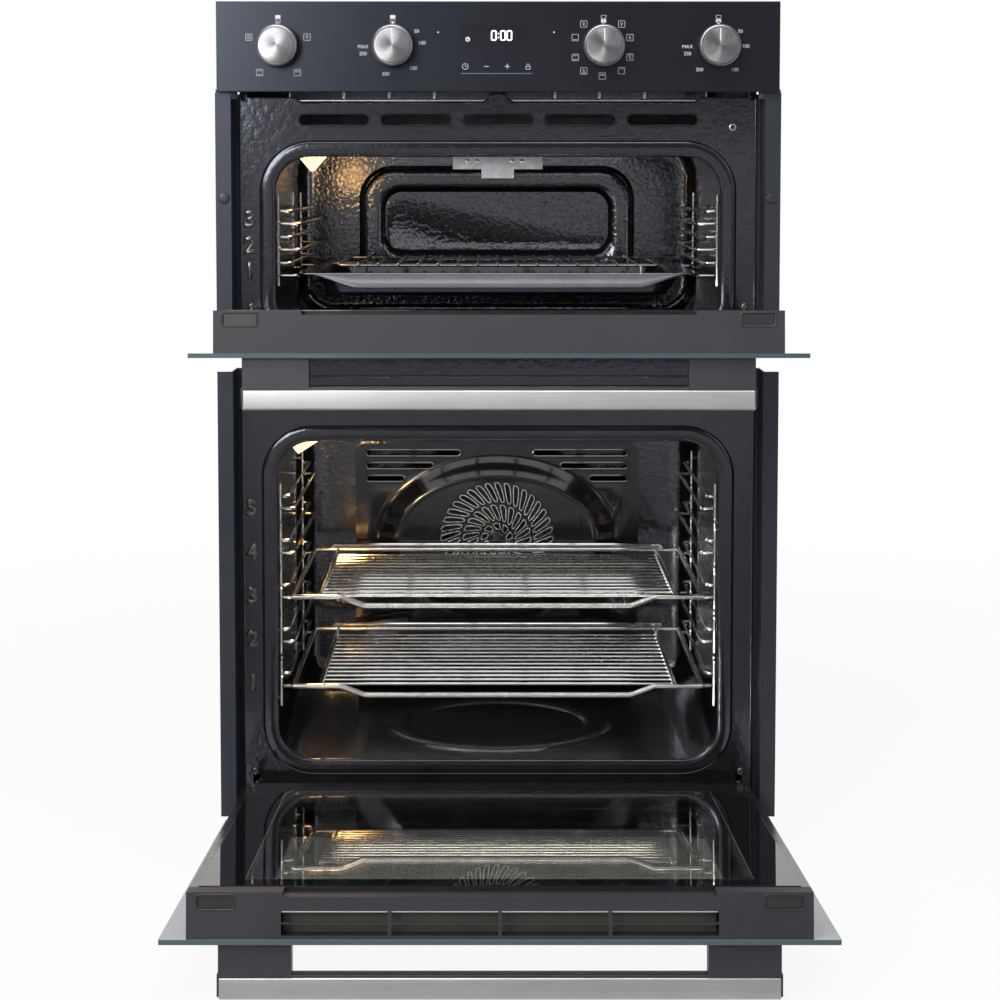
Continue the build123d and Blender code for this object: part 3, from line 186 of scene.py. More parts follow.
def letters(text, size, depth, place, ease=0.0):
    # outline of the text filled, thickened and eased, on an upright face at place, read from the front
    curve = bpy.data.curves.new("letters", "FONT")
    curve.body, curve.size, curve.extrude = text, size, depth / 2
    curve.bevel_depth, curve.bevel_resolution, curve.resolution_u = ease, 2, 3
    curve.align_x, curve.align_y = "CENTER", "CENTER"
    holder = bpy.data.objects.new("letters", curve)
    scene.collection.objects.link(holder)
    bpy.context.view_layer.update()
    mesh = bpy.data.meshes.new_from_object(holder)
    flat = np.zeros(len(mesh.vertices) * 3)
    mesh.vertices.foreach_get("co", flat)
    # the fill and the sides come apart, so points at one place are joined
    flat, joined = np.unique(np.round(flat.reshape(-1, 3), 4), axis=0, return_inverse=True)
    faces = [list(dict.fromkeys(joined.ravel()[list(p.vertices)].tolist())) for p in mesh.polygons]
    faces = [face for face in faces if len(face) > 2]
    bpy.data.objects.remove(holder)
    bpy.data.curves.remove(curve)
    bpy.data.meshes.remove(mesh)
    right, up, out = flat.T
    return np.stack([place[0] + right, place[1] - out - depth / 2, place[2] + up], -1), faces


front = -300.0
doorSet = {"angle": 85.5, "hingeDepth": 13.0, "hingeRise": 12.0,
           "doors": {"upper": (500.0, 275.0), "lower": (-11.0, 505.0)}}
swing = np.radians(doorSet["angle"])
doorAlong = np.array([0, -np.sin(swing), np.cos(swing)])
doorInward = np.array([0, np.cos(swing), np.sin(swing)])


def doorPoint(bottom, x, depth, height):
    # a place on an open door, from its depth behind the glass and its height above the lower edge
    x, depth, height = np.broadcast_arrays(*(np.asarray(a, float) for a in (x, depth, height)))
    hingeY, hingeZ = front + doorSet["hingeDepth"], bottom + doorSet["hingeRise"]
    pivot = np.stack([x, np.full(x.shape, hingeY), np.full(x.shape, hingeZ)], -1)
    return (pivot + (depth - doorSet["hingeDepth"])[..., None] * doorInward
            + (height - doorSet["hingeRise"])[..., None] * doorAlong)


# finishes

def rgba(colour):
    return (*colour, 1)


def fill(tree, made, values):
    # a property by its name, an input by its name or number; an input is linked where the value is a socket
    for key, value in values.items():
        if isinstance(key, str) and hasattr(made, key):
            setattr(made, key, value)
        elif isinstance(value, bpy.types.NodeSocket):
            tree.links.new(value, made.inputs[key])
        else:
            made.inputs[key].default_value = value


def node(tree, kind, **values):
    made = tree.nodes.new(kind)
    fill(tree, made, values)
    return made


def newTree(name):
    mat = bpy.data.materials.new(name)
    mat.use_nodes = True
    tree = mat.node_tree
    return mat, tree, tree.nodes["Principled BSDF"], node(tree, "ShaderNodeTexCoord").outputs["Object"]


def stretched(tree, coord, scale):
    return node(tree, "ShaderNodeMapping", Vector=coord, Scale=scale).outputs[0]


def noise(tree, coord, scale, detail=3.0, roughness=0.5):
    return node(tree, "ShaderNodeTexNoise", Vector=coord, Scale=scale, Detail=detail,
                Roughness=roughness).outputs["Fac"]


def ranged(tree, value, span, out):
    made = node(tree, "ShaderNodeMapRange", Value=value)
    fill(tree, made, {"From Min": span[0], "From Max": span[1], "To Min": out[0], "To Max": out[1]})
    return made.outputs["Result"]


def combined(tree, operation, first, second=0.0):
    made = node(tree, "ShaderNodeMath", operation=operation)
    fill(tree, made, {0: first, 1: second})
    return made.outputs[0]


def mixed(tree, value, first, second):
    # two colours, or colour sockets, by a value from 0 to 1
    made = node(tree, "ShaderNodeMix", data_type="RGBA")
    shades = [rgba(shade) if isinstance(shade, tuple) else shade for shade in (first, second)]
    fill(tree, made, {0: value, 6: shades[0], 7: shades[1]})
    return made.outputs[2]


def blended(tree, value, first, second):
    # two numbers, or number sockets, by a value from 0 to 1
    made = node(tree, "ShaderNodeMix", data_type="FLOAT")
    fill(tree, made, {0: value, 2: first, 3: second})
    return made.outputs[0]


def apart(tree, vector):
    return node(tree, "ShaderNodeSeparateXYZ", Vector=vector).outputs


def distance(tree, vector):
    made = node(tree, "ShaderNodeVectorMath", operation="LENGTH")
    fill(tree, made, {0: vector})
    return made.outputs["Value"]


def bumped(tree, shader, height, strength, depth):
    made = node(tree, "ShaderNodeBump", Height=height, Strength=strength, Distance=depth * mm)
    fill(tree, shader, {"Normal": made.outputs["Normal"]})


cloudSet = {"detail": 4.0, "rough": 0.6, "span": (0.3, 0.7)}
grainSet = {"detail": 3.0, "rough": 0.55, "span": (0.25, 0.75)}


def surface(name, look):
    # colour drifts between two shades over a cloud of noise; a finer noise gives grain to gloss and bump
    mat, tree, shader, coord = newTree(name)
    cloud = noise(tree, coord, look["cloud"], cloudSet["detail"], cloudSet["rough"])
    scale = np.full(3, look["grain"], float).tolist()
    grain = noise(tree, stretched(tree, coord, scale), 1.0, look.get("detail", grainSet["detail"]),
                  grainSet["rough"])
    drift = ranged(tree, cloud, cloudSet["span"], (0, 1))
    fill(tree, shader, {"Base Color": mixed(tree, drift, *look["shades"]),
                        "Roughness": ranged(tree, grain, grainSet["span"], look["rough"]),
                        "Metallic": look.get("metal", 0.0), "Specular IOR Level": look.get("shine", 0.5),
                        "Specular Tint": rgba(look.get("tint", (1, 1, 1))),
                        "Coat Weight": look.get("coat", 0.0), "Coat Roughness": look.get("coatRough", 0.05)})
    bumped(tree, shader, grain, look["bump"], look["depth"])
    return mat


# shades from and to, size of the cloud and the grain (per metre), gloss from and to, bump and its depth
looks = {
    "casing_steel": {"shades": ((0.30, 0.31, 0.32), (0.46, 0.47, 0.48)), "cloud": 60, "grain": 140,
                     "rough": (0.28, 0.5), "bump": 0.15, "depth": 0.2, "metal": 1.0},
    "panel_black": {"shades": ((0.004, 0.004, 0.005), (0.006, 0.006, 0.007)), "cloud": 9, "grain": 1500,
                    "rough": (0.22, 0.29), "bump": 0.03, "depth": 0.03, "tint": (0.72, 0.79, 1.0)},
    "trim_grey": {"shades": ((0.017, 0.018, 0.022), (0.024, 0.025, 0.030)), "cloud": 7, "grain": 1200,
                  "rough": (0.30, 0.42), "bump": 0.05, "depth": 0.03, "tint": (0.74, 0.81, 1.0)},
    "enamel": {"shades": ((0.007, 0.007, 0.008), (0.013, 0.013, 0.015)), "cloud": 30, "grain": 170,
               "rough": (0.08, 0.16), "bump": 0.32, "depth": 0.5, "detail": 1.5, "shine": 0.6, "coat": 0.3,
               "tint": (0.80, 0.85, 1.0)},
    "number_enamel": {"shades": ((0.010, 0.010, 0.011), (0.016, 0.016, 0.018)), "cloud": 60, "grain": 300,
                      "rough": (0.10, 0.18), "bump": 0.1, "depth": 0.2, "shine": 1.0, "coat": 1.0,
                      "coatRough": 0.12},
    "cover_enamel": {"shades": ((0.005, 0.005, 0.006), (0.009, 0.009, 0.010)), "cloud": 20, "grain": 120,
                     "rough": (0.10, 0.18), "bump": 0.06, "depth": 0.3, "detail": 1.0, "shine": 0.5,
                     "coat": 0.3, "coatRough": 0.08, "tint": (0.86, 0.90, 1.0)},
    "cavity_enamel": {"shades": ((0.007, 0.007, 0.008), (0.013, 0.013, 0.015)), "cloud": 30, "grain": 210,
                      "rough": (0.07, 0.14), "bump": 0.42, "depth": 1.1, "detail": 1.0, "shine": 1.0,
                      "coat": 0.6, "coatRough": 0.1, "tint": (0.82, 0.87, 1.0)},
    "door_enamel": {"shades": ((0.010, 0.010, 0.012), (0.016, 0.016, 0.018)), "cloud": 25, "grain": 120,
                    "rough": (0.12, 0.24), "bump": 0.12, "depth": 0.4, "detail": 1.5, "shine": 0.5,
                    "tint": (0.90, 0.92, 1.0)},
    "pan_rim": {"shades": ((0.085, 0.088, 0.098), (0.12, 0.122, 0.132)), "cloud": 40, "grain": 900,
                "rough": (0.26, 0.40), "bump": 0.1, "depth": 0.05, "tint": (0.90, 0.92, 1.0)},
    # bright metal for the beads round the grille slots: a painted highlight on the edges of the enamelled
    # cover
    "grille_rim_highlight": {"shades": ((0.70, 0.695, 0.69), (0.86, 0.855, 0.85)), "cloud": 120, "grain": 400,
                    "rough": (0.14, 0.26), "bump": 0.05, "depth": 0.1, "metal": 1.0},
    "trivet_steel": {"shades": ((0.26, 0.255, 0.25), (0.40, 0.395, 0.39)), "cloud": 80, "grain": 500,
                     "rough": (0.14, 0.26), "bump": 0.06, "depth": 0.1, "metal": 1.0},
    "chrome_wire": {"shades": ((0.66, 0.65, 0.63), (0.84, 0.83, 0.81)), "cloud": 80, "grain": 500,
                    "rough": (0.08, 0.18), "bump": 0.05, "depth": 0.1, "metal": 1.0},
    "element_steel": {"shades": ((0.10, 0.095, 0.09), (0.22, 0.20, 0.18)), "cloud": 50, "grain": 400,
                      "rough": (0.35, 0.6), "bump": 0.15, "depth": 0.1, "metal": 1.0},
    "zinc_steel": {"shades": ((0.42, 0.43, 0.45), (0.62, 0.63, 0.65)), "cloud": 90, "grain": 500,
                   "rough": (0.22, 0.42), "bump": 0.12, "depth": 0.1, "metal": 1.0},
    # the fan's steel far darker than bare steel: painted shade for the fan in the dark behind the grille
    "fan_steel": {"shades": ((0.07, 0.068, 0.066), (0.13, 0.128, 0.126)), "cloud": 45, "grain": 300,
                  "rough": (0.2, 0.4), "bump": 0.1, "depth": 0.1, "metal": 1.0},
    "handle_steel": {"shades": ((0.42, 0.42, 0.43), (0.50, 0.50, 0.51)), "cloud": 14,
                     "grain": (14, 2600, 2600), "rough": (0.34, 0.50), "bump": 0.10, "depth": 0.05,
                     "metal": 1.0, "detail": 2.0},
    "fibre_wool": {"shades": ((0.55, 0.48, 0.26), (0.78, 0.72, 0.48)), "cloud": 70, "grain": (900, 90, 900),
                   "rough": (0.85, 1.0), "bump": 0.9, "depth": 1.2},
    "inner_plastic": {"shades": ((0.30, 0.29, 0.26), (0.38, 0.37, 0.34)), "cloud": 20, "grain": 900,
                      "rough": (0.4, 0.55), "bump": 0.15, "depth": 0.06},
    "black_plastic": {"shades": ((0.012, 0.012, 0.013), (0.020, 0.020, 0.021)), "cloud": 30, "grain": 1100,
                      "rough": (0.35, 0.55), "bump": 0.2, "depth": 0.06},
    "clip_black": {"shades": ((0.014, 0.014, 0.016), (0.020, 0.020, 0.023)), "cloud": 40, "grain": 1500,
                   "rough": (0.30, 0.45), "bump": 0.15, "depth": 0.05},
    "door_trim_grey": {"shades": ((0.015, 0.0155, 0.021), (0.021, 0.0215, 0.028)), "cloud": 12, "grain": 1400,
                       "rough": (0.46, 0.62), "bump": 0.35, "depth": 0.08},
    "post_grey": {"shades": ((0.017, 0.0175, 0.023), (0.023, 0.0235, 0.030)), "cloud": 12, "grain": 1400,
                  "rough": (0.40, 0.55), "bump": 0.25, "depth": 0.06},
    # pale beige for a line along the top of the lower door's vents: a painted highlight
    "vent_highlight_strip": {"shades": ((0.56, 0.54, 0.47), (0.66, 0.64, 0.56)), "cloud": 20, "grain": 300,
                   "rough": (0.35, 0.55), "bump": 0.05, "depth": 0.1, "detail": 2.0},
    "brown_plate": {"shades": ((0.040, 0.036, 0.029), (0.055, 0.050, 0.041)), "cloud": 25, "grain": 300,
                    "rough": (0.4, 0.6), "bump": 0.05, "depth": 0.1, "detail": 2.0},
}
finishes = {slot: surface(slot, look) for slot, look in looks.items()}

boardSet = {"cells": 240.0, "track": (0.35, 0.42), "lacquer": (0.02, 0.10, 0.035),
            "copper": (0.035, 0.19, 0.06), "grain": 300, "rough": (0.25, 0.4), "bump": 0.2, "depth": 0.1}


def circuitBoard():
    # lacquer with square islands of copper under it
    s = boardSet
    mat, tree, shader, coord = newTree("board_green")
    cells = node(tree, "ShaderNodeTexVoronoi", Vector=coord, Scale=s["cells"], distance="CHEBYCHEV")
    tracks = ranged(tree, cells.outputs["Distance"], s["track"], (0, 1))
    gloss = ranged(tree, noise(tree, coord, s["grain"]), cloudSet["span"], s["rough"])
    fill(tree, shader, {"Base Color": mixed(tree, tracks, s["lacquer"], s["copper"]), "Roughness": gloss})
    bumped(tree, shader, tracks, s["bump"], s["depth"])
    return mat


lensSet = {"ribs": 120.0, "wander": 1.5, "glow": ((1.0, 0.52, 0.16), (1.0, 0.74, 0.38)),
           "strength": (1.3, 3.0), "colour": (0.9, 0.8, 0.62), "rough": 0.2, "bump": 0.4, "depth": 0.6}


def litGlass():
    # frosted lamp cover, brighter along its prism ribs
    s = lensSet
    mat, tree, shader, coord = newTree("lamp_glass")
    ribs = node(tree, "ShaderNodeTexWave", Vector=coord, Scale=s["ribs"], Distortion=s["wander"],
                bands_direction="DIAGONAL").outputs["Fac"]
    fill(tree, shader, {"Emission Color": mixed(tree, ribs, *s["glow"]),
                        "Emission Strength": ranged(tree, ribs, (0, 1), s["strength"]),
                        "Base Color": rgba(s["colour"]), "Roughness": s["rough"]})
    bumped(tree, shader, ribs, s["bump"], s["depth"])
    return mat


glassSet = {"ior": 1.5, "wipe": (6, 30, 30), "wipeDetail": 4.0, "wipeSpan": (0.3, 0.8), "drift": 8.0,
            "gain": 1.12, "edge": 0.5, "border": (0.006, 0.006, 0.007), "clear": (0.97, 0.97, 0.96),
            "clearRough": (0.0, 0.008), "outerPrint": (0.012, 0.013, 0.015), "cutEdge": (0.055, 0.085, 0.095),
            "silver": (0.27, 0.28, 0.31), "bronze": (0.72, 0.69, 0.63), "printRough": (0.02, 0.07)}


def wiped(tree, coord, rough):
    # gloss with faint wiping marks across the pane
    marks = noise(tree, stretched(tree, coord, glassSet["wipe"]), 1.0, glassSet["wipeDetail"])
    return ranged(tree, marks, glassSet["wipeSpan"], rough)


def paneGlass(name, tint, rough, through):
    mat, tree, shader, coord = newTree(name)
    deeper = tuple(min(1, glassSet["gain"] * c) for c in tint)
    fill(tree, shader, {"Base Color": mixed(tree, noise(tree, coord, glassSet["drift"]), tint, deeper),
                        "Roughness": wiped(tree, coord, rough), "Transmission Weight": through,
                        "IOR": glassSet["ior"]})
    return mat


def windowMask(tree, coord, window):
    # 1 inside the clear oblong |x| < half, near < y < far of an open door, 0 on the print round it
    place = apart(tree, coord)

    def step(value, edge, out):
        return ranged(tree, value, (edge * mm, (edge + glassSet["edge"]) * mm), out)

    sides = step(combined(tree, "ABSOLUTE", place["X"]), window["half"], (1, 0))
    nearEnd, farEnd = step(place["Y"], window["near"], (0, 1)), step(place["Y"], window["far"], (1, 0))
    return combined(tree, "MULTIPLY", sides, combined(tree, "MULTIPLY", nearEnd, farEnd))


def borderedGlass(name, window):
    # flat inner sheet: clear window in a black printed border
    mat, tree, shader, coord = newTree(name)
    clear = windowMask(tree, coord, window)
    fill(tree, shader, {"Base Color": mixed(tree, clear, glassSet["border"], glassSet["clear"]),
                        "Transmission Weight": clear, "Roughness": wiped(tree, coord, glassSet["clearRough"]),
                        "IOR": glassSet["ior"]})
    return mat


def printedGlass(name, window):
    # silver print on the inner face, black on the outer one and green-grey edges, round a bronze window
    mat, tree, shader, coord = newTree(name)
    facing = node(tree, "ShaderNodeVectorMath", operation="DOT_PRODUCT")
    fill(tree, facing, {0: node(tree, "ShaderNodeTexCoord").outputs["Normal"], 1: tuple(doorInward)})
    towards = facing.outputs["Value"]
    inner, notOuter = (ranged(tree, towards, span, (0, 1)) for span in ((0.4, 0.6), (-0.6, -0.4)))
    printed = mixed(tree, notOuter, glassSet["outerPrint"],
                    mixed(tree, inner, glassSet["cutEdge"], glassSet["silver"]))
    clear = windowMask(tree, coord, window)
    fill(tree, shader, {"Base Color": mixed(tree, clear, printed, glassSet["bronze"]),
                        "Transmission Weight": clear, "Roughness": wiped(tree, coord, glassSet["printRough"]),
                        "IOR": glassSet["ior"]})
    return mat


capSet = {"marks": 2600.0, "detail": 2.0, "shades": ((0.22, 0.22, 0.23), (0.31, 0.31, 0.32)),
          "rough": (0.24, 0.34), "bump": 0.12, "depth": 0.05, "drawn": 0.85}


def brushedCap(name, centre):
    # concentric turning marks: noise over the distance from the knob's axis, with the gloss drawn round it
    s = capSet
    mat, tree, shader, coord = newTree(name)
    centred = node(tree, "ShaderNodeMapping", Vector=coord, Location=(-centre[0] * mm, 0, -centre[1] * mm))
    away = distance(tree, stretched(tree, centred.outputs[0], (1, 0, 1)))
    marks = node(tree, "ShaderNodeTexNoise", noise_dimensions="1D", W=away, Scale=s["marks"],
                 Detail=s["detail"]).outputs["Fac"]
    tangent = node(tree, "ShaderNodeTangent", direction_type="RADIAL", axis="Y")
    fill(tree, shader, {"Base Color": mixed(tree, marks, *s["shades"]), "Metallic": 1.0,
                        "Anisotropic": s["drawn"],
                        "Roughness": ranged(tree, marks, cloudSet["span"], s["rough"]),
                        "Tangent": tangent.outputs["Tangent"]})
    bumped(tree, shader, marks, s["bump"], s["depth"])
    return mat


inkSet = {"patch": 900.0, "detail": 2.0, "fade": 0.82, "rough": (0.35, 0.55)}


def lightInk(name, colour, strength=0.0):
    # patchy print that may glow
    mat, tree, shader, coord = newTree(name)
    patchy = noise(tree, coord, inkSet["patch"], inkSet["detail"])
    shade = mixed(tree, patchy, tuple(inkSet["fade"] * c for c in colour), colour)
    gloss = ranged(tree, patchy, cloudSet["span"], inkSet["rough"])
    fill(tree, shader, {"Base Color": shade, "Roughness": gloss})
    if strength:
        fill(tree, shader, {"Emission Color": shade, "Emission Strength": strength})
    return mat


finishes["board_green"] = circuitBoard()
finishes["lamp_glass"] = litGlass()
finishes["pane_glass"] = paneGlass("pane_glass", (0.96, 0.97, 0.95), (0.0, 0.01), 1.0)
finishes["display_glass"] = paneGlass("display_glass", (0.009, 0.009, 0.012), (0.12, 0.2), 0.0)
printWindows = {"upper": {"half": 215.0, "near": -500.0, "far": -345.0},
                "lower": {"half": 215.0, "near": -730.0, "far": -392.0}}
innerWindows = {"upper": {"half": 226.0, "near": -499.0, "far": -326.0},
                "lower": {"half": 226.0, "near": -728.0, "far": -326.0}}
for door in doorSet["doors"]:
    finishes[door + "_door_glass"] = printedGlass(door + "_door_glass", printWindows[door])
    finishes[door + "_inner_glass"] = borderedGlass(door + "_inner_glass", innerWindows[door])
printInk = lightInk("print_ink", (0.66, 0.68, 0.72))
blueInk = lightInk("blue_ink", (0.10, 0.16, 0.26))
litInk = lightInk("lit_ink", (0.82, 0.82, 1.0), 1.6)

# slots whose nodes are stood in for by pieces further down
finishes["knob_steel"], finishes["seal_black"] = finishes["handle_steel"], finishes["enamel"]

# a node takes a finish of its own name, else a special one, else that of its slot
nodeSlots = {part["node"]: part["material_slot"] for part in frame["record"]["subparts"]}
special = {"fan_cover": "cover_enamel", "upper_cavity": "cavity_enamel", "lower_cavity": "cavity_enamel"}
for name, obj in nodes.items():
    finish = name if name in finishes else special.get(name, nodeSlots[name])
    obj.data.materials.clear()
    obj.data.materials.append(finishes[finish])
print("finishes: set on", len(nodeSlots), "nodes")


# controls

knobSet = {"places": {"upper_mode_knob": -232.0, "upper_heat_knob": -111.0, "lower_mode_knob": 111.0,
                      "lower_heat_knob": 232.0},
           "z": 829.0, "radius": 22.4, "length": 23.0, "lift": 0.8, "ribs": 64, "ribDepth": 0.45}
knobTop = knobSet["lift"] + knobSet["length"]


def knobShell(x):
    # turned profile whose side band is ribbed: radius less a rectified wave of the angle
    s = knobSet
    r, low, top = s["radius"], s["lift"], knobTop
    profile = np.array([(0.1, low), (r - 2.4, low), (r - 2.4, low + 3.0), (r - 0.6, low + 4.2),
                        (r, low + 5.0), (r, top - 4.2), (r - 0.5, top - 3.2), (r - 1.2, top - 2.6),
                        (r - 2.4, top - 2.2), (r - 2.9, top - 2.4), (r - 3.1, top - 2.8),
                        (r - 3.5, top - 2.8), (r - 3.7, top - 0.5), (r - 4.1, top - 0.1), (r - 4.8, top),
                        (4.0, top), (0.1, top)])
    ribbed = np.array([0, 0, 0, 0.6, 1, 1, 1, 0.8, 0.2] + [0] * 8)
    a = around(s["ribs"] * 6)
    rad = profile[:, :1] - ribbed[:, None] * s["ribDepth"] * np.abs(np.sin(a * s["ribs"] / 2))
    return loft(np.stack([x + rad * np.cos(a), np.broadcast_to(front - profile[:, 1:], rad.shape),
                          s["z"] + rad * np.sin(a)], -1))


pointerSet = {"width": 1.3, "from": 4.5, "to": 17.6, "proud": 0.12, "ease": 0.1}
for name, x in knobSet["places"].items():
    steel = brushedCap(name + "_steel", (x, knobSet["z"]))
    piece(name + "_cap", [knobShell(x)], name, steel, [name])
    line = [(x, front - knobTop, knobSet["z"] + pointerSet[end]) for end in ("from", "to")]
    bar = roundedLoop(pointerSet["width"] / 2, pointerSet["proud"], pointerSet["ease"], 3)
    piece(name + "_line", [carry(line, bar, (0, 1, 0))], name, printInk)
print("controls: knobs")

markSet = {"proud": 0.12, "sunk": 0.1, "fine": 0.36, "middle": 0.45, "bold": 0.55, "ease": 0.05, "icon": 3.4,
           "digit": 5.3}


def stroke(points, width, closed=False):
    # thin raised ribbon on the panel's face along points given as (x, z)
    ribbon = roundedLoop(width / 2, markSet["proud"], markSet["ease"], 2)
    return carry(upright(points, front), ribbon, (0, 1, 0), closed)


def dash(x, z, half, width):
    return stroke([(x - half, z), (x + half, z)], width)


def ring(x, z, radius, width, sides=28):
    return stroke(circle(radius, sides) + (x, z), width, True)


def oblong(x, z, half, corner, width, steps=3):
    return stroke(roundedLoop(*half, corner, steps) + (x, z), width, True)


def disc(x, z, radius):
    proud, sunk = markSet["proud"], -markSet["sunk"]
    return turned([(0.02, sunk), (radius, sunk), (radius, proud), (0.02, proud)], 24, (x, front, z))


# heights of the level strokes in each sign, as shares of its half size
signRows = {"grill": (0.52,), "base": (-0.6,), "both": (0.52, -0.6), "full": (0.5, 0.0, -0.5),
            "wide": (0.52, 0.2), "fanBase": (-0.72,), "fanGrill": (0.72,)}
signShares = {"row": 0.66, "blade": 0.55, "bladeTurn": 1.7 * np.pi, "bulb": (0.12, 0.34),
              "socket": (0.45, 0.16), "drop": (0.42, 0.5)}


def ovenSign(kind, x, z):
    # square outline with the strokes that stand for each way of heating
    h, w, share = markSet["icon"], markSet["fine"], signShares
    made = [oblong(x, z, (h, h), 0.5, w)]
    if kind.startswith("fan"):
        a = np.linspace(0, share["bladeTurn"], 22)
        r = share["blade"] * h * np.sqrt(a / a[-1])
        made += [stroke(np.stack([x + r * np.cos(a / 2 + turn), z + r * np.sin(a / 2 + turn)], -1), w)
                 for turn in (0, np.pi)]
    made += [dash(x, z + k * h, share["row"] * h, w) for k in signRows.get(kind, ())]
    if kind == "light":
        made.append(ring(x, z + share["bulb"][0] * h, share["bulb"][1] * h, w, 16))
        made.append(dash(x, z - share["socket"][0] * h, share["socket"][1] * h, w))
    if kind == "thaw":
        a = around(18)
        pinch = share["drop"][0] * h * np.sin(a / 2) ** 1.5
        drop = np.stack([x + pinch * np.sin(a), z + share["drop"][1] * h * np.cos(a)], -1)
        made.append(stroke(drop, w, True))
    return made


ovenPair = {"z": 855.6, "levels": {"upper": 4.1, "lower": -0.2}, "half": (2.6, 1.6), "corner": 0.3,
            "bar": (2.4, 2.9), "ring": (853.8, 1.5, 0.4)}


def whichOven(x, works):
    # two stacked boxes, the one that the knob works filled in
    made = []
    for level, height in ovenPair["levels"].items():
        z = ovenPair["z"] + height
        made.append(oblong(x, z, ovenPair["half"], ovenPair["corner"], markSet["fine"], 2))
        if level == works:
            made.append(dash(x, z, *ovenPair["bar"]))
    return made


# signs and numbers round each knob, by their distances right of and above its middle
modeSigns = {"upper": ((-30.7, 9.5, "full"), (30.6, 9.5, "light"), (-19.6, -27.6, "both"),
                       (20.2, -27.6, "wide")),
             "lower": ((-20.9, 23.2, "fan"), (19.0, 23.2, "light"), (-29.8, 9.0, "base"), (27.8, 9.0, "thaw"),
                       (-29.6, -11.7, "both"), (27.8, -11.4, "fanGrill"), (-20.7, -25.9, "fanBase"),
                       (19.0, -25.6, "grill"), (-1.1, -31.2, "wide"))}
heatNumbers = {"upper": ((25.0, 15.6, "50"), (30.7, 3.3, "100"), (21.4, -23.2, "150"), (-7.7, -29.2, "200"),
                         (-31.4, -7.9, "250"), (-31.4, -0.6, "MAX")),
               "lower": ((23.0, 15.6, "50"), (29.0, 0.0, "100"), (17.6, -24.6, "150"), (-19.7, -24.6, "200"),
                         (-32.6, -7.9, "250"), (-32.6, -0.6, "MAX"))}
marks = []
dotZ, dotRadius, dotLine = ovenPair["ring"]
for level, signs in modeSigns.items():
    x = knobSet["places"][level + "_mode_knob"]
    marks += whichOven(x, level) + [ring(x, dotZ, dotRadius, dotLine, 18)]
    for right, up, kind in signs:
        marks += ovenSign(kind, x + right, knobSet["z"] + up)
for level, numbers in heatNumbers.items():
    x = knobSet["places"][level + "_heat_knob"]
    marks += whichOven(x, level) + [disc(x, dotZ, dotRadius)]
    marks += [letters(text, markSet["digit"], markSet["proud"], (x + right, front, knobSet["z"] + up))
              for right, up, text in numbers]

touchSet = {"z": 807.8, "clock": (-34.7, 3.0, 1.8, 1.3), "minus": -12.3, "plus": 9.6, "arm": 2.6,
            "lock": (31.5, (2.3, 1.5), 0.4), "body": -1.4, "shackle": (0.6, 1.4, 2.2), "dots": (-63.1, 58.8),
            "dotZ": 843.6, "dot": 0.85, "line": (-39.0, 35.8, 800.4, 0.8)}


def clockSign(x, z, radius, up, right, width, handWidth, sides):
    hands = [(x, z + up), (x, z), (x + right, z)]
    return [ring(x, z, radius, width, sides), stroke(hands, handWidth)]


z, arm, bold, middle = touchSet["z"], touchSet["arm"], markSet["bold"], markSet["middle"]
clockX, *clockSizes = touchSet["clock"]
marks += clockSign(clockX, z, *clockSizes, middle, middle, 28)
marks += [dash(touchSet[key], z, arm, bold) for key in ("minus", "plus")]
marks += [stroke([(touchSet["plus"], z - arm), (touchSet["plus"], z + arm)], bold)]
lockX, lockHalf, lockCorner = touchSet["lock"]
lift, wide, tall = touchSet["shackle"]
a = np.linspace(0, np.pi, 12)
marks += [oblong(lockX, z + touchSet["body"], lockHalf, lockCorner, middle),
          stroke(np.stack([lockX + wide * np.cos(a), z + lift + tall * np.sin(a)], -1), middle)]
marks += [disc(x, touchSet["dotZ"], touchSet["dot"]) for x in touchSet["dots"]]
piece("panel_marks", marks, "chassis", printInk)
left, right, lineZ, lineWidth = touchSet["line"]
piece("panel_line", [stroke([(left, lineZ), (right, lineZ)], lineWidth)], "chassis", blueInk)

digitSet = {"half": (2.3, 4.8), "corner": 1.2, "stroke": 1.35, "z": 840.2, "places": (-4.6, 5.0, 11.8),
            "colon": (0.2, 2.0, 0.75), "clock": (-32.0, 836.2, 2.0, 1.2, 1.0, 0.45, 0.4, 24)}
digits = [oblong(x, digitSet["z"], digitSet["half"], digitSet["corner"], digitSet["stroke"], 4)
          for x in digitSet["places"]]
colonX, colonRise, colonRadius = digitSet["colon"]
digits += [disc(colonX, digitSet["z"] + rise, colonRadius) for rise in (colonRise, -colonRise)]
digits += clockSign(*digitSet["clock"])
piece("display_digits", digits, "chassis", litInk)
print("controls: marks and digits")


# wire racks

rackSet = {"uprightX": 241.0, "near": -213.8, "far": 81.2, "radius": 2.0, "gap": 13.8, "wallX": 247.0,
           "kinkHalf": 6.0, "kinkBend": 4.0, "railBend": 5.0, "upperInset": 0.6, "foot": 8.0}
racks = {"lower": {"levels": (126.0, 325.0, 5), "reach": 15.0, "span": (104.0, 352.8), "kink": 4.0},
         "upper": {"levels": (583.0, 640.0, 3), "reach": 23.5, "span": (572.0, 671.8), "kink": 0.0}}


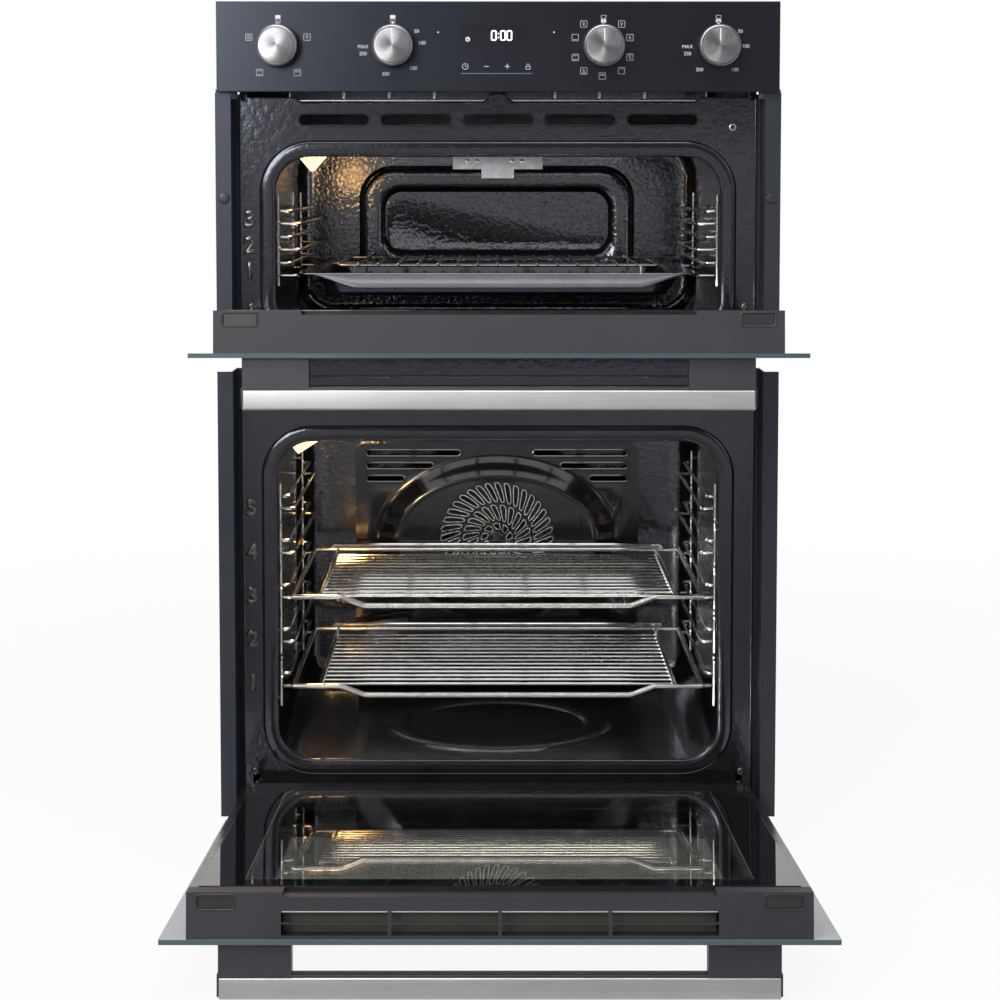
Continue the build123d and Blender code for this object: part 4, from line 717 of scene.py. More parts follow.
def rack(side, levels, reach, span, kink):
    # two uprights, joggled by kink between the levels, feet on the wall, two bent guide wires at each level
    s = rackSet
    x, (low, high), levels = side * s["uprightX"], span, np.linspace(*levels)
    made = []
    for y in (s["near"], s["far"]):
        spots = [(low, 0.0)]
        for below, above in zip(levels[:-1], levels[1:]) if kink else ():
            mid = (below + s["gap"] + above) / 2
            spots += [(mid - s["kinkHalf"], 0.0), (mid, kink), (mid + s["kinkHalf"], 0.0)]
        spots.append((high, 0.0))
        made.append(wire([(x, y + shift, z) for z, shift in spots], s["radius"], (1, 0, 0), s["kinkBend"]))
        made += [rod((x, y, z), (side * s["wallX"], y, z), s["radius"])
                 for z in (low + s["foot"], high - s["foot"])]
    for level in levels:
        for z, inset in ((level, reach), (level + s["gap"], reach * s["upperInset"])):
            railX = x - side * inset
            corners = [(x, s["near"], z), (railX, s["near"], z), (railX, s["far"], z), (x, s["far"], z)]
            made.append(wire(corners, s["radius"], (0, 0, 1), s["railBend"]))
    return made


for oven, sizes in racks.items():
    wires = [shell for side in (-1, 1) for shell in rack(side, **sizes)]
    piece(oven + "_rack_wires", wires, "chassis", finishes["chrome_wire"],
          [oven + "_side_ladders"])

shelfSet = {"rails": {"upper_shelf": 225.5, "lower_shelf": 126.0}, "seat": 2.3, "half": 225.5, "near": -238.8,
            "far": 75.2, "radius": 3.0, "bars": 14, "barHalf": 200.0, "barRadius": 1.7, "barInset": 24.0,
            "dip": 10.0, "dipX": (0.77, 0.65), "dipBend": 12.0, "backX": 0.9, "backRise": 6.0,
            "backBend": 3.0, "bearer": 196.0, "lighter": 0.8}


def shelf(rail):
    # outer hoop with a dipped front, two bearers, a raised back stop and evenly spread cross wires
    s = shelfSet
    h, near, far, r = s["half"], s["near"], s["far"], s["radius"]
    z, thin = rail + s["seat"] + r, r * s["lighter"]
    (rim, dip), back = (h * share for share in s["dipX"]), h * s["backX"]
    low, high = z - s["dip"], z + s["backRise"]
    frontWire = [(-h, z), (-rim, z), (-dip, low), (dip, low), (rim, z), (h, z)]
    backStop = [(-back, z), (-back, high), (back, high), (back, z)]
    made = [wire(upright(frontWire, near), r, (0, 1, 0), s["dipBend"], 12),
            wire(upright(backStop, far), thin, (0, 1, 0), s["backBend"]),
            rod((-h, far, z), (h, far, z), r, 12)]
    for side in (-1, 1):
        made += [rod((side * h, near, z), (side * h, far, z), r, 12),
                 rod((side * s["bearer"], near, z), (side * s["bearer"], far, z), thin)]
    made += [rod((-s["barHalf"], y, z - r), (s["barHalf"], y, z - r), s["barRadius"], 8)
             for y in np.linspace(near + s["barInset"], far - s["barInset"], s["bars"])]
    return made


for name, rail in shelfSet["rails"].items():
    piece(name + "_wires", shelf(rail), name, finishes["chrome_wire"], [name])
print("racks and shelves")

handleSet = {"length": 492.0, "depth": 19.5, "height": 16.0, "standoff": 30.5, "below": 8.0, "ease": 1.2,
             "corner": 2.0}
shadeCoreSet = {"length": 494.4, "depth": 19.6, "height": 14.6, "back": 28.1, "corner": 1.0}
for door, (bottom, height) in doorSet["doors"].items():
    # bar eased at both ends, with a black box behind it that shows as a dark strip between bar and door and
    # at the ends: black end caps, and painted shade in the gap behind the bar
    s = handleSet
    middleDepth = -s["standoff"] - s["depth"] / 2
    middleHeight = height - s["below"] - s["height"] / 2
    half = s["length"] / 2
    rings = []
    for x, cut in ((-half, s["ease"]), (s["ease"] - half, 0), (half - s["ease"], 0), (half, s["ease"])):
        loop = roundedLoop(s["depth"] / 2 - cut, s["height"] / 2 - cut, s["corner"], 6)
        rings.append(doorPoint(bottom, x, middleDepth + loop[:, 0], middleHeight + loop[:, 1]))
    piece(door + "_handle_bar_brushed", [loft(rings)], door + "_door",
          finishes["handle_steel"], [door + "_handle_bar"])
    # black box a little longer than the bar: painted shade in the gap behind it, and black ends
    c = shadeCoreSet
    loop = roundedLoop(c["depth"] / 2, c["height"] / 2, c["corner"], 4)
    rings = [doorPoint(bottom, x, loop[:, 0] - c["back"] - c["depth"] / 2, middleHeight + loop[:, 1])
             for x in (-c["length"] / 2, c["length"] / 2)]
    piece(door + "_handle_core_shade", [loft(rings)], door + "_door", finishes["black_plastic"],
          (), 30)
print("handles")


# pan and trivet

panSet = {"halfX": 220.0, "halfY": 165.0, "middleY": -73.8, "z": 585.3, "sheet": 1.5, "flange": 20.0,
          "depth": 26.0, "draft": 10.0}
lipSet = {"half": 207.0, "drop": 14.0, "out": 8.0, "slope": 57.0, "seat": (0.6, 0.8), "sheet": (0, 1.2, -0.6),
          "grid": (9, 81)}


def panShell():
    # rounded loops stacked from under the floor, up the outside, round the flange and down the inside
    s = panSet
    z, top = s["z"], s["z"] + s["sheet"]
    floor = top - s["depth"]
    rim, wall, wallY = s["halfX"], s["halfX"] - s["flange"], s["halfY"] - s["flange"]
    foot = wall - s["draft"]
    rows = [(foot - 6, floor, 16), (foot - 1.6, floor + 1.4, 19), (foot, floor + 5, 20), (wall, z - 3, 25),
            (wall + 1.2, z - 0.4, 26), (wall + 4, z, 27), (rim - 0.4, z, 12), (rim, z + 0.75, 12),
            (rim - 0.4, top, 12), (wall + 3.2, top, 26.5), (wall - 0.4, top - 1.0, 25.5),
            (wall - 1.5, top - 4, 24.5), (foot - 1.5, floor + 6, 18.5), (foot - 3, floor + 3, 17.5),
            (foot - 7, floor + s["sheet"], 15)]
    return loft([lying(roundedLoop(half, half - wall + wallY, radius, 8) + (0, s["middleY"]), level)
                 for half, level, radius in rows])


def panLip():
    # apron below the front flange, across x and down v: its lower edge comes forward, its ends slope up
    s = lipSet
    rows, cols = s["grid"]
    x = np.linspace(-1, 1, cols) * s["half"]
    fall = np.clip((s["half"] - np.abs(x)) / s["slope"], 0, 1)
    fall = fall * fall * (3 - 2 * fall)
    v = np.linspace(0, 1, rows)[:, None]
    y = panSet["middleY"] - panSet["halfY"] + s["seat"][0] - s["out"] * fall * np.sin(v * np.pi / 2)
    z = panSet["z"] + s["seat"][1] - s["drop"] * fall * v
    outer = np.stack([np.broadcast_to(x, (rows, cols)), y, z], -1)
    inner = outer + np.array(s["sheet"])
    return loft(np.concatenate([outer, inner[:, ::-1]], 1))


piece("grill_pan_tray", [panShell()], "grill_pan", finishes["enamel"], ["grill_pan"], 50)
piece("grill_pan_lip", [panLip()], "grill_pan", finishes["pan_rim"], (), 50)

trivetSet = {"halfX": 176.0, "halfY": 121.0, "floor": 562.6, "rise": 31.0, "radius": 1.6, "bars": 17,
             "legs": 0.9, "past": 4.0}


def trivet():
    # a wire at each end on two legs, and evenly spread bars on top
    s = trivetSet
    half, z, r = s["halfX"], s["floor"] + s["rise"], s["radius"]
    made = []
    for y in panSet["middleY"] + np.array([-1, 1]) * s["halfY"]:
        made.append(rod((-half, y, z), (half, y, z), r))
        made += [rod((x, y, z), (x, y, s["floor"]), r) for x in (-s["legs"] * half, s["legs"] * half)]
    near, far = panSet["middleY"] + np.array([-1, 1]) * (s["halfY"] + s["past"])
    made += [rod((x, near, z + r), (x, far, z + r), r) for x in np.linspace(-half, half, s["bars"])]
    return made


piece("trivet_wires", trivet(), "grill_pan", finishes["trivet_steel"], ["trivet"])
print("pan and trivet")


# pressed edges, numbers and fasteners on the enamelled fronts

faceY = -250.0
coverY, domeY, fanZ = 96.2, 83.2, 243.5


def slotRim(x, y, z, length, width, radius, sides=6):
    # round bead along the edge of a straight slot with round ends
    loop = roundedLoop(length / 2, width / 2, width / 2 - 0.01, 6)
    return carry(upright(loop + (x, z), y), circle(radius, sides), (0, 1, 0), True)


ventSet = {"places": (-177.0, -88.5, 0.0, 88.5, 177.0), "length": 77.0, "height": 13.0, "z": 753.0,
           "rim": 1.0}
notchSet = {"start": 9.0, "width": 210.0, "slope": 8.0, "shoulder": 776.5, "rise": 4.0, "end": 268.0,
            "floor": 771.0, "rim": 1.0, "bend": 2.0}
rims = [slotRim(x, faceY, ventSet["z"], ventSet["length"], ventSet["height"], ventSet["rim"])
        for x in ventSet["places"]]
for side in (-1, 1):
    s = notchSet
    a, b, high, low = s["start"], s["start"] + s["width"], s["shoulder"], s["floor"]
    edge = np.array([(a, high + s["rise"]), (a, high), (a + s["slope"], low), (b - s["slope"], low),
                     (b, high), (s["end"], high)])
    rims.append(wire(upright(edge * (side, 1), faceY), s["rim"], (0, 1, 0), s["bend"], 8))
piece("upper_frame_rims", rims, "chassis", finishes["enamel"])

# each ring of slots: how many, inner and outer radius, and the slot's share of its cell across and along
grilleSet = {"reach": 72.3, "front": 0.9, "sides": 40, "turns": 120, "twist": 0.40, "round": 0.6,
             "rim": 0.8, "rimSink": 0.1,
             "rings": ((36, 44.5, 71.0, (0.62, 0.90)), (22, 21.5, 43.5, (0.62, 0.88)),
                       (9, 10.5, 20.5, (0.66, 0.78))),
             "rows": ((0.0, 0.0), (0.7, 0.0), (0.88, -0.3), (1.0, 0.15), (1.0, 1.3), (0.0, 1.3)),
             "plate": ((118.6, 74.6, 0.5), (71.0, 71.0, 0.0), (71.0, 71.0, 1.2), (118.6, 74.6, 1.2)),
             "bands": (10.5, 21.0, 44.0, 71.0), "band": 0.9, "bandSink": 0.3,
             "hub": ((0.05, -1.2), (10.6, -1.2), (10.6, 0.2), (9.4, 0.7), (6.5, 0.5), (4.5, 0.9),
                     (0.05, 1.5))}
grilleY = domeY - grilleSet["front"]


def oval(halfX, halfZ, y, turns):
    a = around(turns)
    return upright(np.stack([halfX * np.cos(a), fanZ + halfZ * np.sin(a)], -1), y)


def swirled(slots, share, sink):
    # cells of one ring of slots: polar places r, angle + u * pi / count + twist * ln(r / inner), where
    # (u, v) slides from the cell's square edge to a squared-off ellipse, the slot, as share goes from 0 to 1
    count, inner, outer, slot = slots
    p = around(grilleSet["sides"])
    way = np.stack([np.cos(p), np.sin(p)], -1)
    edge = way / np.abs(way).max(-1, keepdims=True)
    hole = np.sign(way) * np.abs(way) ** grilleSet["round"] * slot
    u, v = (edge + (hole - edge) * share).T
    r = (outer + inner) / 2 + v * (outer - inner) / 2
    a = around(count)[:, None] + u * np.pi / count + grilleSet["twist"] * np.log(r / inner)
    return np.stack([r * np.cos(a), np.full(a.shape, grilleY + sink), fanZ + r * np.sin(a)], -1)


def pressedCover():
    # the solid cover's own skin without its flat middle, with points at one place joined
    mesh = nodes["fan_cover"].data
    spots, corners = np.zeros(len(mesh.vertices) * 3), np.zeros(len(mesh.loops), int)
    mesh.vertices.foreach_get("co", spots)
    mesh.loops.foreach_get("vertex_index", corners)
    spots, corners = spots.reshape(-1, 3) / mm, corners.reshape(-1, 3)
    middle = np.hypot(spots[:, 0], spots[:, 2] - fanZ) < grilleSet["reach"]
    corners = corners[~middle[corners].any(-1)]
    spots, joined = np.unique(np.round(spots[corners.ravel()], 4), axis=0, return_inverse=True)
    joined = joined.reshape(-1, 3)
    return spots, joined[(joined != np.roll(joined, 1, -1)).all(-1)].tolist()


skin = pressedCover()
plate = [oval(x, z, grilleY + sink, grilleSet["turns"]) for x, z, sink in grilleSet["plate"]]
shells = [skin, loft(plate, True)]
rims = []
for slots in grilleSet["rings"]:
    shells += [loft(cell, True) for cell in np.stack([swirled(slots, *row) for row in grilleSet["rows"]], 1)]
    rims += [carry(path, circle(grilleSet["rim"], 6), (0, 1, 0), True)
             for path in swirled(slots, 1.0, grilleSet["rimSink"])]
shells += [carry(oval(r, r, grilleY + grilleSet["bandSink"], grilleSet["turns"]),
                 circle(grilleSet["band"], 6), (0, 1, 0), True) for r in grilleSet["bands"]]
shells.append(turned(grilleSet["hub"], 48, (0, grilleY, fanZ)))
piece("fan_cover_press", shells, "chassis", finishes["cover_enamel"], ["fan_cover"],
      kept=len(skin[1]))
# the beads round the slots are bright metal, a painted highlight along the slot edges
piece("fan_grille_rims", rims, "chassis", finishes["grille_rim_highlight"])

cornerSlots = {"lengths": (118.0, 84.0, 48.0), "edge": 163.0, "top": 348.5, "pitch": 16.0, "height": 8.0,
               "rim": 1.5}
rims = [slotRim(side * (cornerSlots["edge"] - length / 2), coverY,
                cornerSlots["top"] - row * cornerSlots["pitch"],
                length, cornerSlots["height"], cornerSlots["rim"], 8)
        for side in (-1, 1) for row, length in enumerate(cornerSlots["lengths"])]
piece("fan_cover_rims", rims, "chassis", finishes["number_enamel"])

levelSet = {"x": -268.6, "size": 24.0, "proud": 1.0, "ease": 1.3,
            "rows": ((137.0, 186.0, 233.9, 281.7, 330.7), (589.6, 617.0, 645.0))}
numbers = [letters(str(k + 1), levelSet["size"], levelSet["proud"], (levelSet["x"], faceY, z),
                   levelSet["ease"])
           for row in levelSet["rows"] for k, z in enumerate(row)]
piece("level_numbers", numbers, "chassis", finishes["number_enamel"])

# turned fasteners: profile of (radius, forward) pairs, how many turns, and where they stand
capsSet = {"profile": ((0.05, 0.1), (5.4, 0.1), (6.0, 0.4), (6.0, 1.0), (5.6, 1.55), (4.6, 1.85), (2.4, 2.0),
                       (0.05, 2.0)),
           "x": 291.0, "y": front + 8.0, "z": 669.0}
caps = [turned(capsSet["profile"], 48, (side * capsSet["x"], capsSet["y"], capsSet["z"])) for side in (-1, 1)]
piece("trim_caps", caps, "chassis", finishes["trim_grey"], ["front_fasteners"])
screwSet = {"profile": ((0.05, 0.0), (4.0, 0.0), (4.0, 0.5), (3.6, 1.1), (2.7, 1.5), (1.5, 1.6), (1.3, 1.5),
                        (1.25, 0.6), (0.05, 0.6)),
            "x": 267.5, "rows": (551.0, 39.0)}
screws = [turned(screwSet["profile"], 40, (side * screwSet["x"], faceY, z))
          for side in (-1, 1) for z in screwSet["rows"]]
piece("frame_screws", screws, "chassis", finishes["number_enamel"])
bumperSet = {"profile": ((2.0, 0.0), (4.0, 0.0), (4.0, 1.8), (3.7, 2.4), (3.2, 2.6), (2.6, 2.5), (2.1, 2.0)),
             "turns": 40, "place": (253.0, faceY, 745.0)}
spots = turned(bumperSet["profile"], bumperSet["turns"], bumperSet["place"])[0]
piece("door_bumper", [loft(spots.reshape(-1, bumperSet["turns"], 3), True)], "chassis",
      finishes["zinc_steel"])

spacerSet = {"places": (-167.0, -118.0, -69.0, 61.6, 109.6, 158.7), "y": -236.0, "radius": 3.2,
             "span": (774.3, 790.8)}
spacers = [rod(*((x, spacerSet["y"], z) for z in spacerSet["span"]), spacerSet["radius"], 20)
           for x in spacerSet["places"]]
piece("duct_spacers", spacers, "chassis", finishes["zinc_steel"])
print("fronts: rims, numbers, screws")


# pressed liners, rounded seals and fan dome

linerSet = {"halfX": 247.0, "corner": 40.0, "tightest": 30.0, "wallY": 156.2, "mouthY": -248.6, "skin": 0.4,
            "backSkin": 0.25, "flat": (0.15, 0.85, 4), "upper": {"span": (516.0, 733.0), "fillet": 16.0},
            "lower": {"span": (46.0, 424.0), "fillet": 26.0},
            "ring": {"half": (156.5, 63.5), "corner": 31.0, "open": 0.6, "z": 625.0, "reach": 16.5,
                     "rise": 8.6, "foot": 22.0}}


def wallRing(y):
    # pressed ring of the upper back wall: rise * (1 - (d / reach)^4) off the wall, taller at its inner foot
    s = linerSet["ring"]
    rings = []
    for d in np.linspace(-s["reach"], s["reach"], 25):
        lift = s["foot"] / 2 * max(-d / s["reach"], 0.0)
        loop = roundedLoop(s["half"][0] + d, s["half"][1] + d - lift, s["corner"] + s["open"] * d, 12)
        rings.append(upright(loop + (0, s["z"] + lift), y - s["rise"] * (1 - (d / s["reach"]) ** 4)))
    return rings


def liner(level):
    # stack of rounded loops from the back wall's middle outwards: the pressed ring, the flat wall, a
    # quarter-round into the sides, the sides to the mouth, and back behind as a thin skin
    s, (low, high), fillet = linerSet, linerSet[level]["span"], linerSet[level]["fillet"]
    wallY, halfZ = s["wallY"] - s["skin"], (high - low) / 2

    def section(inset):
        loop = roundedLoop(s["halfX"] - s["skin"] - inset, halfZ - s["skin"] - inset,
                           s["corner"] - min(inset, s["tightest"]), 12)
        return loop + (0, (low + high) / 2)

    rings = []
    if level == "upper":
        rings = wallRing(wallY)
        last = rings[-1][:, [0, 2]]
        rings += [upright(last * (1 - t) + section(fillet) * t, wallY) for t in np.linspace(*s["flat"])]
    rings += [upright(section(fillet * (1 - np.sin(a))), wallY - fillet * (1 - np.cos(a)))
              for a in np.linspace(0, np.pi / 2, 9)]
    rings += [upright(section(0), s["mouthY"]), upright(section(-s["backSkin"]), s["mouthY"]),
              upright(section(-s["backSkin"]), wallY + s["backSkin"])]
    return loft(rings)


for level in ("upper", "lower"):
    piece(level + "_liner_press", [liner(level)], "chassis", finishes["cavity_enamel"], (), 40)

# bead section: rise * (1 - |u|^2.5)^0.4 across its width
beadSet = {"halfX": 249.0, "corner": 47.0, "spans": ((514.0, 722.0), (44.0, 413.0)), "half": 8.8, "rise": 3.2,
           "sink": 0.1}
u = np.linspace(-1, 1, 17)
beadRise = beadSet["rise"] * (1 - np.abs(u) ** 2.5) ** 0.4 - beadSet["sink"]
beadSection = np.stack([u * beadSet["half"], beadRise], -1)
beads = []
for low, high in beadSet["spans"]:
    loop = roundedLoop(beadSet["halfX"], (high - low) / 2, beadSet["corner"], 14) + (0, (low + high) / 2)
    beads.append(carry(upright(loop, faceY), beadSection, (0, -1, 0), True))
piece("door_seal_beads", beads, "chassis", finishes["enamel"], ["door_seals"], 60)

# rows of (inward, rise) from the dome's foot to its flat top and back underneath
domeSet = {"a": 145.0, "b": 96.0, "narrow": 0.818, "turns": 120,
           "rows": ((-9, 0.15), (-6, 0.45), (-3, 1.1), (0, 2.2), (4, 4.3), (8, 6.9), (12, 9.6), (16, 12.0),
                    (19, 13.4), (21.5, 14.1), (24, 14.2), (26, 13.8), (27.5, 13.2), (27.0, 12.6), (22, 12.0),
                    (0, -0.3), (-8.5, -0.2))}
domeRings = [oval(domeSet["a"] - inward, domeSet["b"] - inward * domeSet["narrow"], coverY - rise,
                  domeSet["turns"])
             for inward, rise in domeSet["rows"]]
piece("fan_cover_dome", [loft(domeRings, True)], "chassis", finishes["cover_enamel"], (), 60)

# round ridge of section rise * (1 - d^4) on the floor, closed underneath
dishSet = {"radius": 118.0, "y": -66.3, "z": 46.4, "half": 16.0, "rise": 3.4, "sides": 96,
           "seat": (0.05, 0.02)}
d = np.linspace(-1, 1, 15)
ridge = np.stack([dishSet["radius"] + d * dishSet["half"],
                  dishSet["rise"] * (1 - d ** 4) + dishSet["seat"][0]], -1)
ridge = np.concatenate([ridge, [(dishSet["radius"], dishSet["seat"][1])]])
dishRings = [lying(circle(r, dishSet["sides"]) + (0, dishSet["y"]), dishSet["z"] + rise) for r, rise in ridge]
piece("lower_floor_dish", [loft(dishRings, True)], "chassis", finishes["cavity_enamel"], (), 60)

tongueSet = {"x": 288.0, "half": (11.6, 2.2), "corner": 0.5, "y": front + 12.0, "span": (774.0, 784.0)}
section = roundedLoop(*tongueSet["half"], tongueSet["corner"], 3)
tongues = [loft([lying(section + (side * tongueSet["x"], tongueSet["y"]), z) for z in tongueSet["span"]])
           for side in (-1, 1)]
piece("trim_tongues", tongues, "chassis", finishes["trim_grey"])

edgeSet = {"x": 277.7, "radius": 0.8, "spans": ((481.0, 775.5), (6.0, 477.0))}
edges = [rod((side * edgeSet["x"], faceY, low), (side * edgeSet["x"], faceY, high), edgeSet["radius"], 12)
         for side in (-1, 1) for low, high in edgeSet["spans"]]
piece("frame_edges", edges, "chassis", finishes["number_enamel"])
ledgeSet = {"half": 262.0, "rows": (475.0, 464.5), "radius": 1.3}
ledges = [rod((-ledgeSet["half"], faceY, z), (ledgeSet["half"], faceY, z), ledgeSet["radius"], 12)
          for z in ledgeSet["rows"]]
piece("lower_frame_lips", ledges, "chassis", finishes["number_enamel"])

rivetSet = {"profile": ((0.05, -0.2), (3.6, -0.2), (3.6, 0.3), (3.1, 0.9), (2.0, 1.3), (0.05, 1.45)),
            "places": (-34.0, -23.0, 16.0, 27.0), "y": -168.8, "z": 709.0}
rivets = [turned(rivetSet["profile"], 32, (x, rivetSet["y"], rivetSet["z"])) for x in rivetSet["places"]]
piece("bracket_rivets", rivets, "chassis", finishes["chrome_wire"])

casingScrews = {"profile": ((0.05, -0.1), (4.2, -0.1), (4.2, 0.5), (3.6, 1.3), (2.2, 1.7), (1.6, 1.7),
                            (1.2, 0.9), (0.05, 0.9)), "turns": 24,
                "back": 254.2, "backX": (-264.0, -88.0, 88.0, 264.0), "backZ": (14.0, 848.0),
                "edgeX": (264.0, -264.0), "edgeZ": (220.0, 430.0, 640.0),
                "side": 278.5, "sideY": (-205.0, 238.0), "sideZ": (30.0, 300.0, 570.0, 832.0),
                "top": 862.0, "topX": (-240.0, -80.0, 80.0, 240.0)}


def panHead(place, out):
    # low head with a sunk middle: (radius, rise) pairs turned about the line that leaves the sheet
    radius, rise = np.array(casingScrews["profile"], float).T
    out = np.asarray(out, float)
    u = unit(np.cross(out, (1.0, 1.0, 1.0)))
    v = np.cross(out, u)
    way = circle(1.0, casingScrews["turns"])
    ring = way[:, :1] * u + way[:, 1:] * v
    return loft(np.asarray(place, float) + radius[:, None, None] * ring + rise[:, None, None] * out)


s = casingScrews
heads = [panHead((x, s["back"], z), (0, 1, 0)) for x in s["backX"] for z in s["backZ"]]
heads += [panHead((x, s["back"], z), (0, 1, 0)) for x in s["edgeX"] for z in s["edgeZ"]]
heads += [panHead((side * s["side"], y, z), (side, 0, 0)) for side in (-1, 1) for y in s["sideY"]
          for z in s["sideZ"]]
heads += [panHead((x, y, s["top"]), (0, 0, 1)) for x in s["topX"] for y in s["sideY"]]
piece("casing_screws", heads, "chassis", finishes["chrome_wire"])
print("liners, seals, dome, dish and screws")


# door inner faces

pocketSet = {"x": 247.5, "depth": 37.0, "half": (16.6, 6.6), "corner": 3.0, "drop": 1.6, "radius": 1.0}
sheetSet = {"half": 265.0, "low": 48.0, "cut": (37.0, 45.0), "topDrop": 22.5, "corner": 3.0, "seat": 45.52,
            "rows": ((0.0, 0.0), (0.0, 0.5), (0.35, 0.78))}


def clipShadeRims(bottom, height):
    # black bead round each pocket that a release clip sits in: painted shade for the dark gap round the clip
    s = pocketSet
    loop = roundedLoop(*s["half"], s["corner"], 6)
    paths = [doorPoint(bottom, side * s["x"] + loop[:, 0], s["depth"] + loop[:, 1], height - s["drop"])
             for side in (-1, 1)]
    return [carry(path, circle(s["radius"], 8), doorAlong, True) for path in paths]


def innerSheet(bottom, height):
    # outline with cut corners at the hinges, stacked as rows of (inset, lift) off the pressed frame
    s = sheetSet
    top, low, half, (cutX, cutH) = height - s["topDrop"], s["low"], s["half"], s["cut"]
    flat = [(0, top, 0), (half, top, 0), (half, low + cutH, 0), (half - cutX, low, 0), (cutX - half, low, 0),
            (-half, low + cutH, 0), (-half, top, 0), (0, top, 0)]
    outline = bend(flat, s["corner"], 5)[:-1]
    inward = unit(outline - np.array([0, (top + low) / 2, 0]))
    loops = [(outline - inward * inset, s["seat"] + lift) for inset, lift in s["rows"]]
    return loft([doorPoint(bottom, loop[:, 0], depth, loop[:, 1]) for loop, depth in loops])


for door, sizes in doorSet["doors"].items():
    # black plastic beads: painted shade round each clip
    piece(door + "_clip_shade_rims", clipShadeRims(*sizes), door + "_door", finishes["black_plastic"])
for door, sizes in doorSet["doors"].items():
    piece(door + "_inner_glass", [innerSheet(*sizes)], door + "_door",
          finishes[door + "_inner_glass"])

# a pale line, a painted highlight along the top of the vents, and a brown plate behind the vents in the lower
# door's upper edge
ventBack = {"half": 190.0, "line": {"height": 501.2, "depth": 28.4, "radius": 0.8},
            "plate": {"height": 485.0, "reach": (7.0, 30.0), "sheet": 1.0}}
bottom = doorSet["doors"]["lower"][0]
ends, line, plate = np.array([-1, 1]) * ventBack["half"], ventBack["line"], ventBack["plate"]
start, end = doorPoint(bottom, ends, line["depth"], line["height"])
slab = [doorPoint(bottom, np.full(4, x), np.array(plate["reach"])[[0, 0, 1, 1]],
                  plate["height"] + plate["sheet"] * np.array([0, 1, 1, 0])) for x in ends]
# pale rod: a painted highlight along the top of the vents
piece("lower_vent_highlight_line", [rod(start, end, line["radius"])], "lower_door",
      finishes["vent_highlight_strip"])
piece("lower_vent_plate", [loft(slab)], "lower_door", finishes["brown_plate"])
print("doors: clip rims, inner sheets and vent backs")


# light, floor and camera, in metres

def areaLamp(name, place, aim, size, power):
    lamp = bpy.data.lights.new(name, "AREA")
    lamp.shape, lamp.size, lamp.size_y, lamp.energy = "RECTANGLE", size[0], size[1], power
    holder = bpy.data.objects.new(name, lamp)
    scene.collection.objects.link(holder)
    holder.location = place
    away = np.subtract(place, aim)
    holder.rotation_euler = (np.arctan2(np.hypot(away[0], away[1]), away[2]), 0,
                             np.arctan2(away[0], -away[1]))
    return holder


# each lamp's place, aim, size and power
lampSet = {"key": ((-1.5, -2.7, 1.7), (-0.2, 0, 0.75), (0.9, 1.5), 36),
           "top": ((-0.3, -1.7, 2.6), (0, -0.1, 0.6), (1.8, 1.0), 40),
           "fill": ((2.0, -2.2, 1.0), (0, 0, 0.4), (0.7, 1.6), 6),
           "side": ((-0.95, -2.95, 1.15), (-0.2, 0, 0.85), (0.7, 0.7), 14)}
roofSet = {"lower_roof": ((0, -0.03, 0.417), (0, 0.0, 0.1), (0.34, 0.20), 0.34),
           "upper_roof": ((0, -0.04, 0.727), (0, 0.02, 0.5), (0.34, 0.10), 0.14)}
for name, lamp in lampSet.items():
    areaLamp(name, *lamp)
for name, lamp in roofSet.items():
    areaLamp(name, *lamp).visible_camera = False

bulbSet = {"places": ((-0.200, -0.170, 0.690), (-0.205, -0.170, 0.376)), "powers": (0.2, 1.0),
           "colour": (1.0, 0.54, 0.18), "radius": 0.02}
for count, (place, power) in enumerate(zip(bulbSet["places"], bulbSet["powers"])):
    bulb = bpy.data.lights.new(f"oven_bulb_{count}", "POINT")
    bulb.energy, bulb.color, bulb.shadow_soft_size = power, bulbSet["colour"], bulbSet["radius"]
    holder = bpy.data.objects.new(bulb.name, bulb)
    holder.location = place
    scene.collection.objects.link(holder)


def seenRay(tree, *kinds):
    # 1 for a ray of any of these kinds
    path = node(tree, "ShaderNodeLightPath").outputs
    value = path[kinds[0]]
    for kind in kinds[1:]:
        value = combined(tree, "MAXIMUM", value, path[kind])
    return value


# soft boxes as slopes to the right and up from the oven: left, right, low, high, brightness
roomSet = {"ambient": 0.4, "dim": 0.14, "turn": (-0.3, 0.25), "edge": 0.02, "least": 0.001,
           "boxes": ((-0.60, -0.055, 0.030, 0.40, 1.0), (-0.35, 0.30, -0.045, 0.030, 0.9),
                     (0.35, 0.75, -0.02, 0.55, 0.45), (-1.2, 1.2, 0.45, 2.6, 0.8))}


def studioRoom(tree):
    # mirrored rays meet white behind the oven and, in front of it, a dim room with soft boxes
    way, edge = apart(tree, node(tree, "ShaderNodeTexCoord").outputs["Generated"]), roomSet["edge"]
    ahead = combined(tree, "MAXIMUM", combined(tree, "MULTIPLY", way["Y"], -1.0), roomSet["least"])
    right, up = (combined(tree, "DIVIDE", way[axis], ahead) for axis in ("X", "Z"))

    def between(slope, low, high):
        return combined(tree, "MULTIPLY", ranged(tree, slope, (low - edge, low + edge), (0.0, 1.0)),
                        ranged(tree, slope, (high - edge, high + edge), (1.0, 0.0)))

    room = ranged(tree, way["Y"], roomSet["turn"], (roomSet["dim"], 1.0))
    for left, far, low, high, light in roomSet["boxes"]:
        inside = combined(tree, "MULTIPLY", between(right, left, far), between(up, low, high))
        room = combined(tree, "MAXIMUM", room, combined(tree, "MULTIPLY", inside, light))
    return room


world = bpy.data.worlds.new("studio")
scene.world = world
world.use_nodes = True
tree = world.node_tree
lit = blended(tree, seenRay(tree, "Is Glossy Ray"), roomSet["ambient"], studioRoom(tree))
strength = blended(tree, seenRay(tree, "Is Camera Ray", "Is Transmission Ray"), lit, 1.0)
fill(tree, tree.nodes["Background"], {"Color": (1, 1, 1, 1), "Strength": strength})
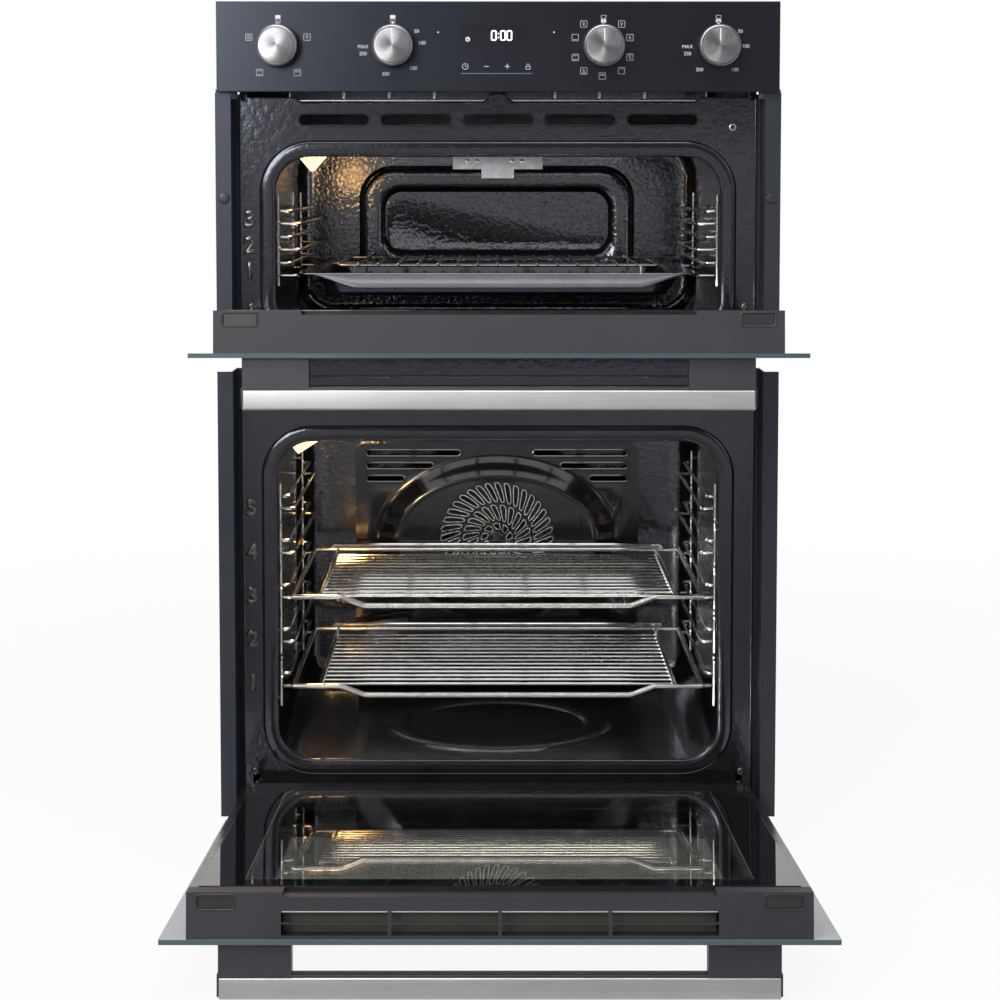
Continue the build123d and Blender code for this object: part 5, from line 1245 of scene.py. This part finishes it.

# mirrored rays meet a floor whose glow is dimmed in front of the oven, darkest just beyond the open door:
# painted shade seen only in reflections. The lamps' shadow shows near the oven and fades into plain white
# further out
floorSet = {"half": 9.0, "z": -0.03, "grey": (0.80, 0.80, 0.80), "rough": 0.9,
            "door": ((-0.86, -0.74), (0.4, 1.0)), "front": ((-4.5, -1.5), (0.75, 0.4)),
            "fade": ((0.7, 1.9), (0.92, 1.0))}


def paleFloor():
    mat, tree, shader, coord = newTree("pale_floor")
    fill(tree, shader, {"Base Color": rgba(floorSet["grey"]), "Roughness": floorSet["rough"]})
    y = apart(tree, coord)["Y"]
    # glow for mirrored rays lowered by place: painted shade, darkest just beyond the open door
    ahead = combined(tree, "MAXIMUM", ranged(tree, y, *floorSet["door"]), ranged(tree, y, *floorSet["front"]))
    seen = seenRay(tree, "Is Camera Ray", "Is Transmission Ray")
    glow = node(tree, "ShaderNodeEmission", Strength=combined(tree, "MAXIMUM", ahead, seen))
    shown = combined(tree, "MULTIPLY", seenRay(tree, "Is Camera Ray", "Is Transmission Ray", "Is Glossy Ray"),
                     ranged(tree, distance(tree, coord), *floorSet["fade"]))
    both = node(tree, "ShaderNodeMixShader")
    fill(tree, both, {0: shown, 1: shader.outputs[0], 2: glow.outputs[0]})
    fill(tree, tree.nodes["Material Output"], {"Surface": both.outputs[0]})
    return mat


corners = np.array([(-1, -1), (1, -1), (1, 1), (-1, 1)]) * floorSet["half"]
floorMesh = bpy.data.meshes.new("floor")
floorMesh.from_pydata(lying(corners, floorSet["z"]).tolist(), [], [(0, 1, 2, 3)])
floorMesh.materials.append(paleFloor())
floor = bpy.data.objects.new("floor", floorMesh)
scene.collection.objects.link(floor)

# looks slightly down, so that little of the framing is left to the shift
cameraSet = {"lens": 81.536, "sensor": 36.0, "shift": (0.0101, -0.159), "place": (-0.0087, -2.7028, 0.6952),
             "down": 4.229}
lens = bpy.data.cameras.new("camera")
lens.lens, lens.sensor_width = cameraSet["lens"], cameraSet["sensor"]
lens.shift_x, lens.shift_y = cameraSet["shift"]
camera = bpy.data.objects.new("camera", lens)
camera.location = cameraSet["place"]
camera.rotation_euler = (np.radians(90.0 - cameraSet["down"]), 0, 0)
scene.collection.objects.link(camera)
scene.camera = camera
scene.view_settings.view_transform = "Standard"
print("studio: lamps, floor and camera")
